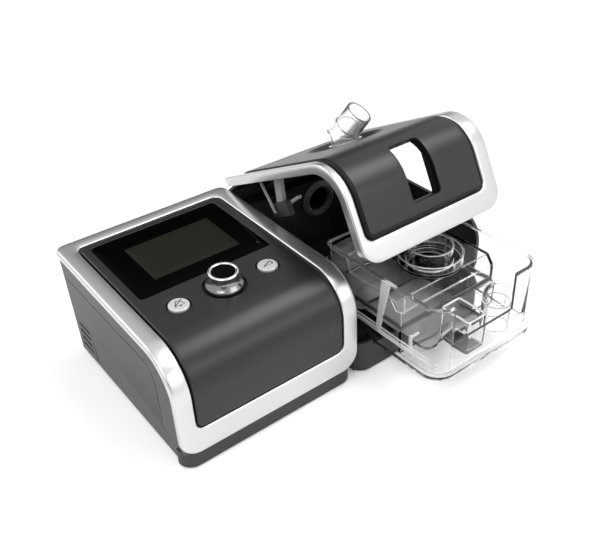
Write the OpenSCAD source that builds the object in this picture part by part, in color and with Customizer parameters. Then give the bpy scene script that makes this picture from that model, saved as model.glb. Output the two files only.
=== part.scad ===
// Bilevel airway pressure machine with its heated humidifier on the right.
// The humidifier's lid stands part open and its clear water chamber is drawn out to the front.
// Millimetres. X runs from the main unit to the humidifier, Y runs back, Z runs up.
// Inside the modules X is zero where the two units meet, Y is zero at the front face of the frames
// and Z is zero under the feet. The place module then moves everything to the part's own origin.

/* [Main unit] */
// Width of the main unit
main_w = 152; // [140:1:170]
// Depth of both units, from the front face to the rear edge
unit_d = 175; // [170:1:180]
// Height of the sloping top, carried forward to the front face
front_h = 94.4; // [92:0.1:98]
// Height of the top at the rear edge
rear_h = 100.1; // [99:0.1:104]
// Radius of the bend between the top and the front
front_r = 32.5; // [28:0.5:34]
// Thickness of the bright frame
frame_t = 4; // [3.5:0.1:4.5]
// Height where the bright frame starts at the front
band_low = 15.8; // [14:0.1:18]
// Height where the dark panel starts at the front
band_high = 35.9; // [33:0.1:38]
// Width of the bright side strips
side_strip = 13; // [11:0.5:14]
// Width of the bright rear strip
rear_strip = 12; // [10:0.5:14]
// Radius of the lower front corners of the frame
band_r = 15; // [10:1:18]

/* [Controls] */
// Distance of the knob from the front face
knob_y = 54; // [50:0.5:58]
// Diameter of the knob's skirt
knob_d = 27.6; // [24:0.2:30]
// Height of the knob over the panel
knob_h = 12; // [10:0.5:14]
// Distance of each button from the knob
key_pitch = 36.8; // [32:0.2:42]
// Diameter of each button
key_d = 15; // [12:0.2:16]
// Width of the display glass
glass_w = 108.6; // [100:0.2:112]
// Depth of the display glass
glass_d = 81; // [76:0.5:84]
// Distance of the glass from the front face
glass_y = 75; // [73:0.5:78]

/* [Humidifier] */
// Width of the humidifier's lid
lid_w = 138.1; // [134:0.1:142]
// Gap between the main unit and the lid
unit_gap = 1.7; // [1:0.1:3]
// Height of the front sill beside the chamber
sill_h = 28; // [27:0.5:30]
// Wall of the housings
wall = 2.6; // [2:0.1:3]

/* [Lid] */
// Angle of the lid over its closed place
lid_angle = 27.3; // [25:0.1:40]
// Distance of the hinge axis from the front face
hinge_y = 181.3; // [180:0.1:184]
// Height of the hinge axis
hinge_z = 79.5; // [78:0.1:81]
// Distance of the lid's rear ridge from the front face
ridge_y = 140; // [136:1:144]
// Width of the window in the lid's front
window_w = 27; // [20:0.5:30]
// Height of the window
window_h = 42; // [36:0.5:44]
// Height of the dark panel over the bright frame
lid_proud = 0.8; // [0:0.1:1.2]

/* [Outlet] */
// Radius of the round dish in the lid's panel
dish_r = 32; // [28:0.5:34]
// Diameter of the hose cone on the outlet elbow
cone_d = 22; // [22:0.1:22.4]
// Angle between the elbow's tube and the lid's normal
elbow_bend = 58; // [45:1:65]
// Length of the tube from the bend to the rim
elbow_reach = 24; // [20:1:36]
// Distance from the bend to the shoulder of the hose cone
cone_start = 8; // [7:0.5:10]
// Direction of the tube seen from over the lid
elbow_turn = -68; // [-180:1:180]

/* [Water chamber] */
// Width of the clear tub over its walls
tub_w = 103; // [98:1:106]
// Depth of the clear tub
tub_d = 125; // [120:1:128]
// Height of the clear tub
tub_h = 60; // [56:0.5:60]
// Distance the chamber is drawn out
chamber_out = 75; // [70:1:90]
// Radius of the front corners of the tub
tub_r = 14; // [8:1:16]
// Bore of the chamber's round port
port_d = 33; // [28:0.5:34]

/* [Hidden] */
$fn = 64;
foot_h = 1.5;
slope = atan((rear_h - front_h) / unit_d);
arc_z = front_h + front_r * tan(slope) - front_r / cos(slope);
hum_right = unit_gap + lid_w;
knuckle_r = 5;
pin_r = 2;
shell_in = 2;
shell_low = 4;
groove = 1.2;
knob_x = -main_w / 2;
fit = 0.3;

// Sockets in the rear of the main unit
inlet_z = 14;
card_z = 10;

// Dark panel inside the main unit's bright frame
panel_x0 = -main_w + side_strip + groove;
panel_x1 = -side_strip - groove;

// Blower inside the main unit and the air path to the humidifier
blower_x = -100;
blower_y = 127;
volute_r = 36;
duct_y = 159;
duct_z = 34;
duct_r = 9;

// Bay of the humidifier
bay_x0 = unit_gap + 4.3;
bay_x1 = hum_right - 4.3;
bay_floor = 23.3;
bulkhead_y = 147;
air_x = 79;
air_z = 70;

// Chamber at its fully home place
tub_x0 = unit_gap + 21.3;
tub_x1 = tub_x0 + tub_w;
tub_y0 = 16;
tub_y1 = tub_y0 + tub_d;
tub_z0 = 24;
tub_z1 = tub_z0 + tub_h;
port_x = 82;
port_y = 85;
filler_x = 103;
filler_y = 33;
filler_z1 = 50;

// Outlet on the lid
outlet_x = 76;
outlet_y = 84;
outlet_lift = 7.1;
dish_depth = 4.2;
tube_r = 11.8;

// Heater
heat_x = 74;
heat_y = 82;

// The part's origin is under the middle of its outline, on the surface it stands on
origin_x = (hum_right - main_w) / 2;
flange_out = 3;
origin_y = (tub_y0 - flange_out - chamber_out + hinge_y + knuckle_r) / 2;

// Height of the sloping top at a distance from the front face
function top_z(y) = front_h + y * tan(slope);

// Moves a piece from the modules' zero to the part's origin
module place() {
    translate([-origin_x, -origin_y, 0])
        children();
}

// Turns a piece of the lid from its closed place to the photographed angle
module on_lid() {
    place()
        translate([0, hinge_y, hinge_z])
            rotate([-lid_angle, 0, 0])
                translate([0, -hinge_y, -hinge_z])
                    children();
}

// Draws a piece of the chamber out to the front
module on_chamber() {
    place()
        translate([0, -chamber_out, 0])
            children();
}

// Stands a piece on the sloping top, with its own Z along the slope's normal
module on_top(x, y) {
    translate([x, y, top_z(y)])
        rotate([slope, 0, 0])
            children();
}

// Rectangle with rounded corners, one radius in front and one behind
module plate2d(x0, x1, y0, y1, ra, rb) {
    union() {
        translate([x0 + ra, y0])
            square([x1 - x0 - 2 * ra, y1 - y0 - rb]);
        translate([x0 + rb, y0 + ra])
            square([x1 - x0 - 2 * rb, y1 - y0 - ra]);
        translate([x0, y0 + ra])
            square([x1 - x0, y1 - y0 - ra - rb]);
        for (x = [x0 + ra, x1 - ra])
            translate([x, y0 + ra])
                circle(ra);
        for (x = [x0 + rb, x1 - rb])
            translate([x, y1 - rb])
                circle(rb);
    }
}

// Block with a rounded plan
module plate(x0, x1, y0, y1, z0, z1, ra, rb) {
    translate([0, 0, z0])
        linear_extrude(height = z1 - z0)
            plate2d(x0, x1, y0, y1, ra, rb);
}

// Carries a drawing of the side view along X
module along_x(x0, x1) {
    translate([x0, 0, 0])
        rotate([90, 0, 90])
            linear_extrude(height = x1 - x0)
                children();
}

// Carries a drawing of the front view along Y
module along_y(y0, y1) {
    translate([0, y1, 0])
        rotate([90, 0, 0])
            linear_extrude(height = y1 - y0)
                children();
}

// Height of the top's line in the side view, set in by one distance
function top_in(y, inset) = top_z(y) - inset / cos(slope);

// Side view from the upright front over the round bend to the rear points that are given
module bent_outline(inset, low, rear) {
    r = front_r - inset;
    difference() {
        polygon(concat([[inset, low], [inset, top_in(inset, inset)]], rear));
        difference() {
            polygon([
                [inset - 1, arc_z],
                [front_r, arc_z],
                [front_r - 2 * r * sin(slope), arc_z + 2 * r * cos(slope)],
                [inset - 1, arc_z + 2 * r]
            ]);
            translate([front_r, arc_z])
                circle(r, $fn = 128);
        }
    }
}

// Side view of a unit with its sloping top
module side_outline(inset, low, back) {
    bent_outline(inset, low, [[back, top_in(back, inset)], [back, low]]);
}

// Solid with the side view above
module slab(x0, x1, inset, low, back) {
    along_x(x0, x1)
        side_outline(inset, low, back);
}

// The same solid with its long outer edges rounded
module soft_slab(x0, x1, low, back, edge) {
    hull()
        for (a = [0, 30, 60, 90])
            slab(x0 + edge * (1 - sin(a)), x1 - edge * (1 - sin(a)), edge * (1 - cos(a)), low, back);
}

// Room of the opening that the bright frame leaves, over the bend from the front to the top
module opening(x0, x1, z0, y1, rf, rb) {
    along_y(-5, front_r)
        plate2d(x0, x1, z0, 160, rf, 1);
    plate(x0, x1, -5, y1, arc_z, 160, 1, rb);
}

// Front view mask with rounded lower corners
module front_mask(x0, x1, z0, r) {
    along_y(-10, 250)
        plate2d(x0, x1, z0, 200, r, 1);
}

// Plate with a side view given as a child, with rounded lower front and rear corners
module panel_blank(x0, x1, z0, y1) {
    intersection() {
        along_x(x0, x1)
            children();
        front_mask(x0, x1, z0, 6);
        plate(x0, x1, -1, y1, 0, 120, 0.5, 6);
    }
}

// Ring around an axis along Z
module ring(r1, r0, h) {
    difference() {
        cylinder(r = r1, h = h);
        translate([0, 0, -1])
            cylinder(r = r0, h = h + 2);
    }
}

// Screw with a round head at the bottom
module screw(len) {
    cylinder(r = 2.6, h = 1.6);
    cylinder(r = 1.4, h = len);
}

// Post with a pin that carries a board 8 mm over the table
module board_post() {
    cylinder(r = 3, h = 8 - foot_h);
    cylinder(r = 1.5, h = 10.4 - foot_h);
}

main_screw_at = [[-136, 22], [-16, 22], [-124, 163], [-16, 163]];
main_board_post_at = [[-134, 36], [-20, 36], [-134, 78], [-20, 78]];
heater_post_at = [[30, 46], [114, 46], [30, 122], [114, 122]];
hum_screw_at = [[14, 34], [127, 34], [14, 140], [127, 140]];

module main_bottom() place() color([0.2, 0.2, 0.21]) {
    difference() {
        union() {
            plate(-main_w + 4.6, -4.6, 5.9, unit_d - 2.5, foot_h, shell_low, 8.5, 7);
            for (p = main_screw_at)
                translate([p[0], p[1], foot_h])
                    cylinder(r = 4.5, h = 12);
            for (p = main_board_post_at)
                translate([p[0], p[1], foot_h])
                    board_post();
        }
        for (p = main_screw_at) {
            translate([p[0], p[1], foot_h - 1])
                cylinder(r = 1.4, h = 20);
            translate([p[0], p[1], foot_h - 1])
                cylinder(r = 2.6, h = 2.6);
        }
        for (k = [0:6])
            translate([-112 + 6 * k, 60, 0])
                cube([2, 40, 10]);
    }
}

// Path of the fine groove on the sides, in the side view
module side_groove2d() {
    difference() {
        plate2d(30, 300, -100, 76, 1, 15);
        plate2d(30.9, 301, -101, 75.1, 1, 14.1);
    }
}

louvre_y0 = 142;
louvre_y1 = 169;
louvre_z0 = 8;
louvre_z1 = 40;

module main_shell() place() color([0.36, 0.36, 0.39]) {
    // Pocket of the inlet filter with its rear lip
    difference() {
        translate([-main_w + 5.4, louvre_y0 - 1.6, louvre_z0 - 1.6])
            cube([10.2, louvre_y1 - louvre_y0 + 2.4, louvre_z1 - louvre_z0 + 3.2]);
        translate([-main_w, louvre_y0 + 0.8, louvre_z0 + 0.8])
            cube([13.6, louvre_y1 - louvre_y0 - 1.6, louvre_z1 - louvre_z0 - 1.6]);
        translate([-main_w, louvre_y0 + 2.8, louvre_z0 + 2.8])
            cube([20, louvre_y1 - louvre_y0 - 5.6, louvre_z1 - louvre_z0 - 5.6]);
    }
    // Posts of the control board
    for (x = [-50, 50], y = [45, 65])
        on_top(knob_x, 0) {
            translate([x, y, -14])
                cylinder(r = 2.6, h = 8);
            translate([x, y, -16.2])
                cylinder(r = 1.4, h = 3);
        }
    difference() {
        intersection() {
            slab(-main_w + shell_in, -shell_in, frame_t, shell_low, unit_d - 1);
            plate(-main_w, 0, frame_t, unit_d - 1, 0, 120, 1, 8);
            along_y(-10, 250)
                polygon([
                    [-main_w + shell_in + 1.5, 0], [-main_w + shell_in, 92],
                    [-main_w + shell_in, 110], [-shell_in, 110],
                    [-shell_in, 92], [-shell_in - 1.5, 0]
                ]);
        }
        slab(-main_w + shell_in + wall + 1.2, -shell_in - wall - 1.2, frame_t + wall, 0, unit_d - 1 - wall);
        // Room for the front skirt
        translate([-main_w - 1, 0, 0])
            cube([main_w + 2, 15, band_low]);
        // Fine groove on both sides
        along_x(-main_w, -main_w + shell_in + 1.1)
            side_groove2d();
        along_x(-shell_in - 1.1, 0)
            side_groove2d();
        // Window of the filter cover
        translate([-main_w - 1, louvre_y0, louvre_z0])
            cube([8, louvre_y1 - louvre_y0, louvre_z1 - louvre_z0]);
        // Bore for the air coupling
        translate([-10, duct_y, duct_z])
            rotate([0, 90, 0])
                cylinder(r = duct_r + 2.3, h = 12);
        // Sockets in the rear wall
        translate([-30, unit_d + 1, inlet_z])
            rotate([90, 0, 0])
                cylinder(r = 5.5, h = 8);
        translate([-66, unit_d - 6, card_z])
            cube([26, 8, 4]);
        // Display, shaft and stems pass through the deck
        on_top(knob_x, 0)
            translate([-38, 84, -12])
                cube([76, 56, 20]);
        on_top(knob_x, knob_y)
            translate([0, 0, -12])
                cylinder(r = 5, h = 20);
        for (s = [-1, 1])
            on_top(knob_x + s * key_pitch, knob_y)
                translate([0, 0, -12])
                    cylinder(r = 3, h = 20);
    }
}

module main_front_skirt() place() color([0.24, 0.24, 0.25])
    difference() {
        plate(-main_w + 2, -2, 3.3, 40, foot_h, band_low - 0.4, 10.5, 0.5);
        plate(-main_w + 4.6, -4.6, 5.9, 41, 0, 40, 8.5, 0.5);
        translate([-main_w - 1, 14.6, 0])
            cube([main_w + 2, 40, 40]);
    }

module main_top_frame() place() color([0.8, 0.8, 0.82])
    difference() {
        intersection() {
            soft_slab(-main_w, 0, band_low, unit_d, 2);
            front_mask(-main_w, 0, band_low, band_r);
            plate(-main_w, 0, -1, unit_d, 0, 120, 0.5, 8);
        }
        slab(-main_w - 1, 1, frame_t, 0, unit_d + 1);
        opening(-main_w + side_strip, -side_strip, band_high, unit_d - rear_strip, 7, 7);
    }

module main_top_panel() place() color([0.27, 0.27, 0.29])
    difference() {
        panel_blank(panel_x0, panel_x1, band_high + groove, unit_d - rear_strip - groove)
            side_outline(0.2, band_high, unit_d);
        slab(-main_w - 1, 1, frame_t, 0, unit_d + 1);
        on_top(knob_x, 0) {
            translate([0, 0, -2])
                linear_extrude(height = 20)
                    plate2d(-glass_w / 2 - 0.2, glass_w / 2 + 0.2, glass_y - 0.2,
                        glass_y + glass_d + 0.2, 3.2, 3.2);
            translate([-38, 84, -12])
                cube([76, 56, 20]);
        }
        on_top(knob_x, knob_y) {
            translate([0, 0, -1.8])
                cylinder(r = 15.6, h = 8);
            translate([0, 0, -8])
                cylinder(r = 6, h = 20);
        }
        for (s = [-1, 1])
            on_top(knob_x + s * key_pitch, knob_y) {
                translate([0, 0, -1.2])
                    cylinder(r = key_d / 2 + 1.2, h = 8);
                translate([0, 0, -8])
                    cylinder(r = key_d / 2 + 0.3, h = 20);
            }
    }

module display_glass() place() color([0.03, 0.03, 0.035])
    on_top(knob_x, 0)
        translate([0, 0, -2])
            linear_extrude(height = 1.9)
                plate2d(-glass_w / 2, glass_w / 2, glass_y, glass_y + glass_d, 3, 3);

module display_module() place() color([0.15, 0.15, 0.13])
    on_top(knob_x, 0) {
        translate([-37, 85, -8])
            cube([74, 54, 6]);
        translate([-30, 90, -9.4])
            cube([60, 44, 1.5]);
    }

module control_board() place() color([0.1, 0.35, 0.2])
    on_top(knob_x, 0)
        difference() {
            translate([-54, 42, -15.6])
                cube([108, 26, 1.6]);
            for (x = [-50, 50], y = [45, 65])
                translate([x, y, -20])
                    cylinder(r = 1.5, h = 10);
        }

module key_switches() place() color([0.1, 0.1, 0.1])
    for (s = [-1, 1])
        on_top(knob_x + s * key_pitch, knob_y) {
            translate([-3, -3, -14])
                cube([6, 6, 3.4]);
            translate([0, 0, -10.7])
                cylinder(r = 1.7, h = 0.6);
        }

module encoder_body() place() color([0.55, 0.56, 0.58])
    on_top(knob_x, knob_y)
        difference() {
            union() {
                translate([-6, -6, -14])
                    cube([12, 12, 6.5]);
                translate([0, 0, -8])
                    cylinder(r = 4.5, h = 5);
            }
            translate([0, 0, -11])
                cylinder(r = 3.05, h = 20);
            translate([0, 0, -12.6])
                cylinder(r = 4.2, h = 4);
        }

module encoder_plunger() place() color([0.85, 0.85, 0.8])
    on_top(knob_x, knob_y)
        translate([0, 0, -11.6])
            cylinder(r = 3.9, h = 0.9);

module encoder_shaft() place() color([0.75, 0.76, 0.78])
    on_top(knob_x, knob_y)
        difference() {
            translate([0, 0, -10.4])
                cylinder(r = 3, h = 17.4);
            translate([1.6, -5, -1.4])
                cube([5, 10, 12]);
        }

// Knob from its skirt to the seat of the bright ring, with a hollow waist
module knob() place() color([0.78, 0.78, 0.8])
    on_top(knob_x, knob_y)
        difference() {
            rotate_extrude()
                difference() {
                    polygon([
                        [0, -0.8], [knob_d / 2, -0.8], [knob_d / 2, 1.6], [knob_d / 2 - 0.8, 2.4],
                        [10.9, 9.2], [10.9, knob_h - 1.6], [0, knob_h - 1.6]
                    ]);
                    translate([15.4, 7.6])
                        circle(4.6);
                }
            difference() {
                translate([0, 0, -2])
                    cylinder(r = 3.02, h = 9.1);
                translate([1.62, -5, -3])
                    cube([5, 10, 12]);
            }
        }

module knob_ring() place() color([0.86, 0.86, 0.88])
    on_top(knob_x, knob_y)
        translate([0, 0, knob_h - 1.6])
            rotate_extrude()
                polygon([[8.4, 0], [10.9, 0], [10.6, 1.1], [9.9, 1.6], [9.2, 1.5], [8.4, 0.8]]);

// Dished cap in the middle of the knob
module knob_cap() place() color([0.05, 0.05, 0.05])
    on_top(knob_x, knob_y)
        translate([0, 0, knob_h - 1.6])
            rotate_extrude()
                polygon([[0, 0], [8.35, 0], [8.35, 0.8], [6.7, 0.8], [3.6, 0.45], [0, 0.3]]);

// Round button with a soft edge and its stem
module key(s) {
    on_top(knob_x + s * key_pitch, knob_y) {
        translate([0, 0, -2.8])
            rotate_extrude()
                union() {
                    square([key_d / 2 - 0.8, 3.5]);
                    square([key_d / 2, 2.7]);
                    translate([key_d / 2 - 0.8, 2.7])
                        circle(0.8);
                }
        translate([0, 0, -9])
            cylinder(r = 2.2, h = 6.2);
    }
}

module mute_button() place() color([0.72, 0.72, 0.74])
    key(-1);

module ramp_button() place() color([0.72, 0.72, 0.74])
    key(1);

module main_board() place() color([0.1, 0.35, 0.2])
    difference() {
        translate([-140, 30, 8])
            cube([126, 54, 1.6]);
        for (p = main_board_post_at)
            translate([p[0], p[1], 0])
                cylinder(r = 1.6, h = 20);
    }

// Lower half of the spiral blower housing with its straight outlet
module blower_volute() place() color([0.6, 0.62, 0.64])
    difference() {
        union() {
            translate([blower_x, blower_y, 17])
                cylinder(r = volute_r, h = 32);
            translate([blower_x, duct_y, duct_z])
                rotate([0, 90, 0])
                    cylinder(r = duct_r, h = -blower_x - 14);
            translate([blower_x, duct_y - 7, 20])
                cube([44, 14, 28]);
        }
        translate([blower_x, blower_y, 19.5])
            cylinder(r = volute_r - 3, h = 40);
        translate([blower_x, blower_y, 0])
            cylinder(r = 12, h = 40);
        translate([blower_x, duct_y, duct_z])
            rotate([0, 90, 0])
                cylinder(r = duct_r - 2, h = 100);
    }

module blower_cover() place() color([0.5, 0.52, 0.54])
    translate([blower_x, blower_y, 49])
        difference() {
            cylinder(r = volute_r, h = 3);
            translate([0, 0, -1])
                cylinder(r = 5, h = 6);
        }

module blower_motor() place() color([0.3, 0.3, 0.32])
    translate([blower_x, blower_y, 52])
        difference() {
            cylinder(r = 17, h = 22);
            translate([0, 0, -1])
                cylinder(r = 1.56, h = 30);
        }

module motor_shaft() place() color([0.8, 0.8, 0.82])
    translate([blower_x, blower_y, 28])
        cylinder(r = 1.5, h = 44);

// Wheel of the blower with its backswept blades
module impeller() place() color([0.9, 0.9, 0.88])
    translate([blower_x, blower_y, 28])
        difference() {
            union() {
                translate([0, 0, 14])
                    cylinder(r = 28, h = 1.6);
                cylinder(r = 5, h = 15);
                for (k = [0:8])
                    rotate([0, 0, 40 * k])
                        translate([9, 0, 4])
                            rotate([0, 0, 28])
                                translate([0, -0.6, 0])
                                    cube([19, 1.2, 10.2]);
            }
            translate([0, 0, -1])
                cylinder(r = 1.5, h = 30);
        }

// Three soft posts that carry the blower
module blower_mount() place() color([0.4, 0.4, 0.42])
    for (a = [30, 150, 270])
        translate([blower_x + 27 * cos(a), blower_y + 27 * sin(a), shell_low])
            cylinder(r = 5, h = 13);

module inlet_filter() place() color([0.85, 0.86, 0.88])
    translate([-main_w + 7.2, louvre_y0 + 1, louvre_z0 + 0.8])
        cube([6.4, louvre_y1 - louvre_y0 - 2, louvre_z1 - louvre_z0 - 1.8]);

// Louvred cover of the air inlet
module filter_cover() place() color([0.36, 0.36, 0.39])
    difference() {
        union() {
            translate([-main_w + 2.9, louvre_y0 + fit, louvre_z0 + fit])
                cube([2.2, louvre_y1 - louvre_y0 - 2 * fit, louvre_z1 - louvre_z0 - 2 * fit]);
            for (z = [louvre_z0 + 1.4, louvre_z1 - 2.9])
                translate([-main_w + 4, louvre_y0 + 6, z])
                    cube([2.6, 15, 1.5]);
        }
        for (k = [0:3])
            translate([-main_w, louvre_y0 + 4, louvre_z0 + 4.6 + 6.6 * k])
                cube([8, louvre_y1 - louvre_y0 - 8, 3]);
    }

module air_coupling() place() color([0.55, 0.56, 0.58])
    translate([-14, duct_y, duct_z])
        rotate([0, 90, 0])
            ring(duct_r + 2, duct_r - 2, 22.3);

module power_inlet() place() color([0.08, 0.08, 0.08])
    translate([-30, unit_d - 1, inlet_z])
        rotate([90, 0, 0])
            union() {
                difference() {
                    cylinder(r = 5.5, h = 14);
                    translate([0, 0, -1])
                        cylinder(r = 2.9, h = 11);
                }
                cylinder(r = 1.05, h = 12);
            }

module card_slot() place() color([0.3, 0.3, 0.32])
    difference() {
        translate([-66, unit_d - 26, card_z])
            cube([26, 25, 4]);
        translate([-65, unit_d - 22, card_z + 1])
            cube([24, 30, 2]);
    }

module main_feet() place() color([0.1, 0.1, 0.1])
    for (x = [-main_w + 30, -30], y = [24, unit_d - 26])
        translate([x, y, 0])
            cylinder(r = 7, h = foot_h);

module main_screws() place() color([0.6, 0.6, 0.62])
    for (p = main_screw_at)
        translate([p[0], p[1], foot_h])
            screw(11);

// Tray and upright sides of the humidifier
module hum_base() place() color([0.1, 0.1, 0.105]) {
    difference() {
        union() {
            difference() {
                intersection() {
                    slab(unit_gap + 1.3, hum_right - 1.3, 8.7, foot_h, unit_d - 1);
                    plate(unit_gap, hum_right, 0, unit_d - 1, 0, 120, 1, 8);
                }
                translate([bay_x0, -10, shell_low])
                    cube([bay_x1 - bay_x0, unit_d - 1 - wall + 10, 120]);
                // Room for the rear edge of the open lid
                translate([0, unit_d - 14, 76])
                    cube([200, 30, 40]);
            }
            difference() {
                plate(unit_gap + 1.3, hum_right - 1.3, 3.3, 40, foot_h, sill_h, 11, 0.5);
                plate(bay_x0, bay_x1, 3.3 + wall, 50, shell_low, 60, 8, 0.5);
                translate([tub_x0 - flange_out - 2, -5, bay_floor])
                    cube([tub_w + 2 * flange_out + 4, 60, 40]);
            }
            // Outer knuckles of the hinge and their webs
            for (x = [22, 107])
                hinge_knuckle(x, x + 12, 174 - 1.5);
            for (p = hum_screw_at)
                translate([p[0], p[1], foot_h])
                    cylinder(r = 4.5, h = 14);
            for (p = heater_post_at)
                translate([p[0], p[1], foot_h])
                    board_post();
        }
        for (x = [10, 95])
            translate([x, hinge_y, hinge_z])
                rotate([0, 90, 0])
                    cylinder(r = pin_r, h = 40);
        for (p = hum_screw_at) {
            translate([p[0], p[1], foot_h - 1])
                cylinder(r = 1.4, h = 20);
            translate([p[0], p[1], foot_h - 1])
                cylinder(r = 2.6, h = 2.6);
        }
        translate([0, duct_y, duct_z])
            rotate([0, 90, 0])
                cylinder(r = duct_r + 2.3, h = 12);
        along_x(hum_right - 1.3 - 0.7, hum_right)
            side_groove2d();
        for (k = [0:5])
            translate([56 + 6 * k, 60, 0])
                cube([2, 40, 10]);
    }
}

// Round eye about the hinge axis with a web down to a wall that stands at one distance
module hinge_knuckle(x0, x1, web_y) {
    along_x(x0, x1) {
        translate([hinge_y, hinge_z])
            circle(knuckle_r);
        polygon([
            [web_y, 60], [web_y, 76], [hinge_y - 3, hinge_z - 3.5],
            [hinge_y + 3.5, hinge_z - 3.5], [web_y + 1.5, 60]
        ]);
    }
}

// Floor of the bay with the two rails that hold the chamber's flange
module bay_liner() place() color([0.07, 0.07, 0.075]) {
    rail_in = tub_x0 - flange_out - fit - 0.2;
    rail_out = tub_x1 + flange_out + fit + 0.2;
    difference() {
        union() {
            plate(bay_x0 + 0.2, bay_x1 - 0.2, 6.2, bulkhead_y - 0.3, bay_floor - 3, bay_floor, 8, 1);
            translate([bay_x0 + 0.2, 14, bay_floor - 0.1])
                cube([rail_in - bay_x0 - 0.2, bulkhead_y - 14.3, 8]);
            translate([rail_out, 14, bay_floor - 0.1])
                cube([bay_x1 - rail_out - 0.2, bulkhead_y - 14.3, 8]);
            translate([rail_in - 1, 14, tub_z0 + 4])
                cube([3.2, bulkhead_y - 14.3, 3.2]);
            translate([rail_out - 2.2, 14, tub_z0 + 4])
                cube([3.2, bulkhead_y - 14.3, 3.2]);
            for (x = [bay_x0 + 0.2, bay_x1 - 2.2])
                translate([x, 50, shell_low])
                    cube([2, 70, bay_floor - shell_low - 2]);
        }
        plate(heat_x - 36.4, heat_x + 36.4, heat_y - 41.4, heat_y + 41.4, 0, 40, 8.4, 8.4);
    }
}

// Rear block that leads the air from the side port up to the round port
module air_block() place() color([0.09, 0.09, 0.095])
    difference() {
        along_x(bay_x0 + 0.3, bay_x1 - 0.3)
            polygon([
                [bulkhead_y, shell_low], [bulkhead_y, 88.5], [158, 88.5], [166.5, 81.5],
                [166.5, 70.5], [unit_d - 4.2, 70.5], [unit_d - 4.2, shell_low]
            ]);
        translate([0, duct_y, duct_z])
            rotate([0, 90, 0])
                cylinder(r = duct_r - 2, h = air_x);
        translate([0, duct_y, duct_z])
            rotate([0, 90, 0])
                cylinder(r = duct_r + 2.2, h = 8.3);
        translate([air_x, duct_y, duct_z])
            cylinder(r = duct_r, h = air_z - duct_z);
        translate([air_x, duct_y + 6, air_z])
            rotate([90, 0, 0])
                cylinder(r = 11, h = 30);
    }

// Soft ring that meets the chamber's air inlet
module inlet_seal() place() color([0.16, 0.17, 0.17])
    translate([air_x, bulkhead_y, air_z])
        rotate([90, 0, 0])
            rotate_extrude()
                polygon([
                    [11, 0], [17, 0], [17, 2.4], [15.4, 3.2], [13.8, 5.4],
                    [12.6, 5.4], [12.6, 3.2], [11, 3.2]
                ]);

module heater_plate() place() color([0.7, 0.71, 0.72]) {
    plate(heat_x - 36, heat_x + 36, heat_y - 41, heat_y + 41, bay_floor - 2.6, bay_floor, 8, 8);
    plate(heat_x - 30, heat_x + 30, heat_y - 35, heat_y + 35, bay_floor - 5.2, bay_floor - 2.6, 6, 6);
}

module heater_springs() place() color([0.65, 0.65, 0.67])
    for (x = [heat_x - 24, heat_x + 24], y = [heat_y - 28, heat_y + 28])
        translate([x, y, 9.6])
            ring(3.5, 2.5, bay_floor - 5.2 - 9.6);

module heater_board() place() color([0.1, 0.35, 0.2])
    difference() {
        translate([26, 42, 8])
            cube([92, 84, 1.6]);
        for (p = heater_post_at)
            translate([p[0], p[1], 0])
                cylinder(r = 1.6, h = 20);
    }

module hinge_pins() place() color([0.75, 0.75, 0.78])
    for (x = [22.5, 94.5])
        translate([x, hinge_y, hinge_z])
            rotate([0, 90, 0])
                cylinder(r = pin_r, h = 24);

module hum_feet() place() color([0.1, 0.1, 0.1])
    for (x = [24, hum_right - 24], y = [24, unit_d - 26])
        translate([x, y, 0])
            cylinder(r = 7, h = foot_h);

module hum_screws() place() color([0.6, 0.6, 0.62])
    for (p = hum_screw_at)
        translate([p[0], p[1], foot_h])
            screw(13);

lid_skin = 3.6;
lid_rim = 7.5;
lid_left_strip = 6.3;
lid_right_strip = 13.3;
lid_band = 32.5;
lid_frame_back = 164;
lid_panel_x0 = unit_gap + lid_left_strip;
lid_panel_x1 = hum_right - lid_right_strip;

// U-shaped bright frame of the lid with its deeper outer rim
module lid_frame() on_lid() color([0.82, 0.82, 0.84])
    difference() {
        intersection() {
            soft_slab(unit_gap, hum_right, band_low + 0.2, lid_frame_back, 2);
            front_mask(unit_gap, hum_right, band_low + 0.2, band_r);
            plate(unit_gap, hum_right, -1, lid_frame_back, 0, 120, 0.5, 8);
        }
        slab(unit_gap + 2.6, hum_right - 2.6, lid_skin, 0, unit_d + 10);
        slab(0, 200, lid_rim, 0, unit_d + 10);
        opening(lid_panel_x0, lid_panel_x1, lid_band, 260, 7, 7);
    }

// Side view of the lid's top with its rear slope
module lid_outline(inset, low) {
    bent_outline(inset, low, [[ridge_y, top_in(ridge_y, inset)], [172, 91.5 - inset], [172, low]]);
}

window_x = 70;
window_z = 45;

module window_prism(grow, y1) {
    along_y(-5, y1)
        plate2d(window_x - window_w / 2 - grow, window_x + window_w / 2 + grow, window_z - grow,
            window_z + window_h + grow, 3 + grow, 3 + grow);
}

// Space inside the round dish: a flat floor and a side that curves up to the rim
module dish() {
    floor_r = dish_r - 13;
    rise = dish_depth + lid_proud;
    side_r = (pow(dish_r - floor_r, 2) + pow(rise, 2)) / (2 * rise);
    on_top(outlet_x, outlet_y)
        rotate_extrude()
            intersection() {
                union() {
                    translate([0, -dish_depth])
                        square([floor_r, 10]);
                    translate([floor_r, side_r - dish_depth])
                        circle(side_r, $fn = 96);
                }
                translate([0, -dish_depth - 1])
                    square([dish_r + 6, 10]);
            }
}

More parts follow.
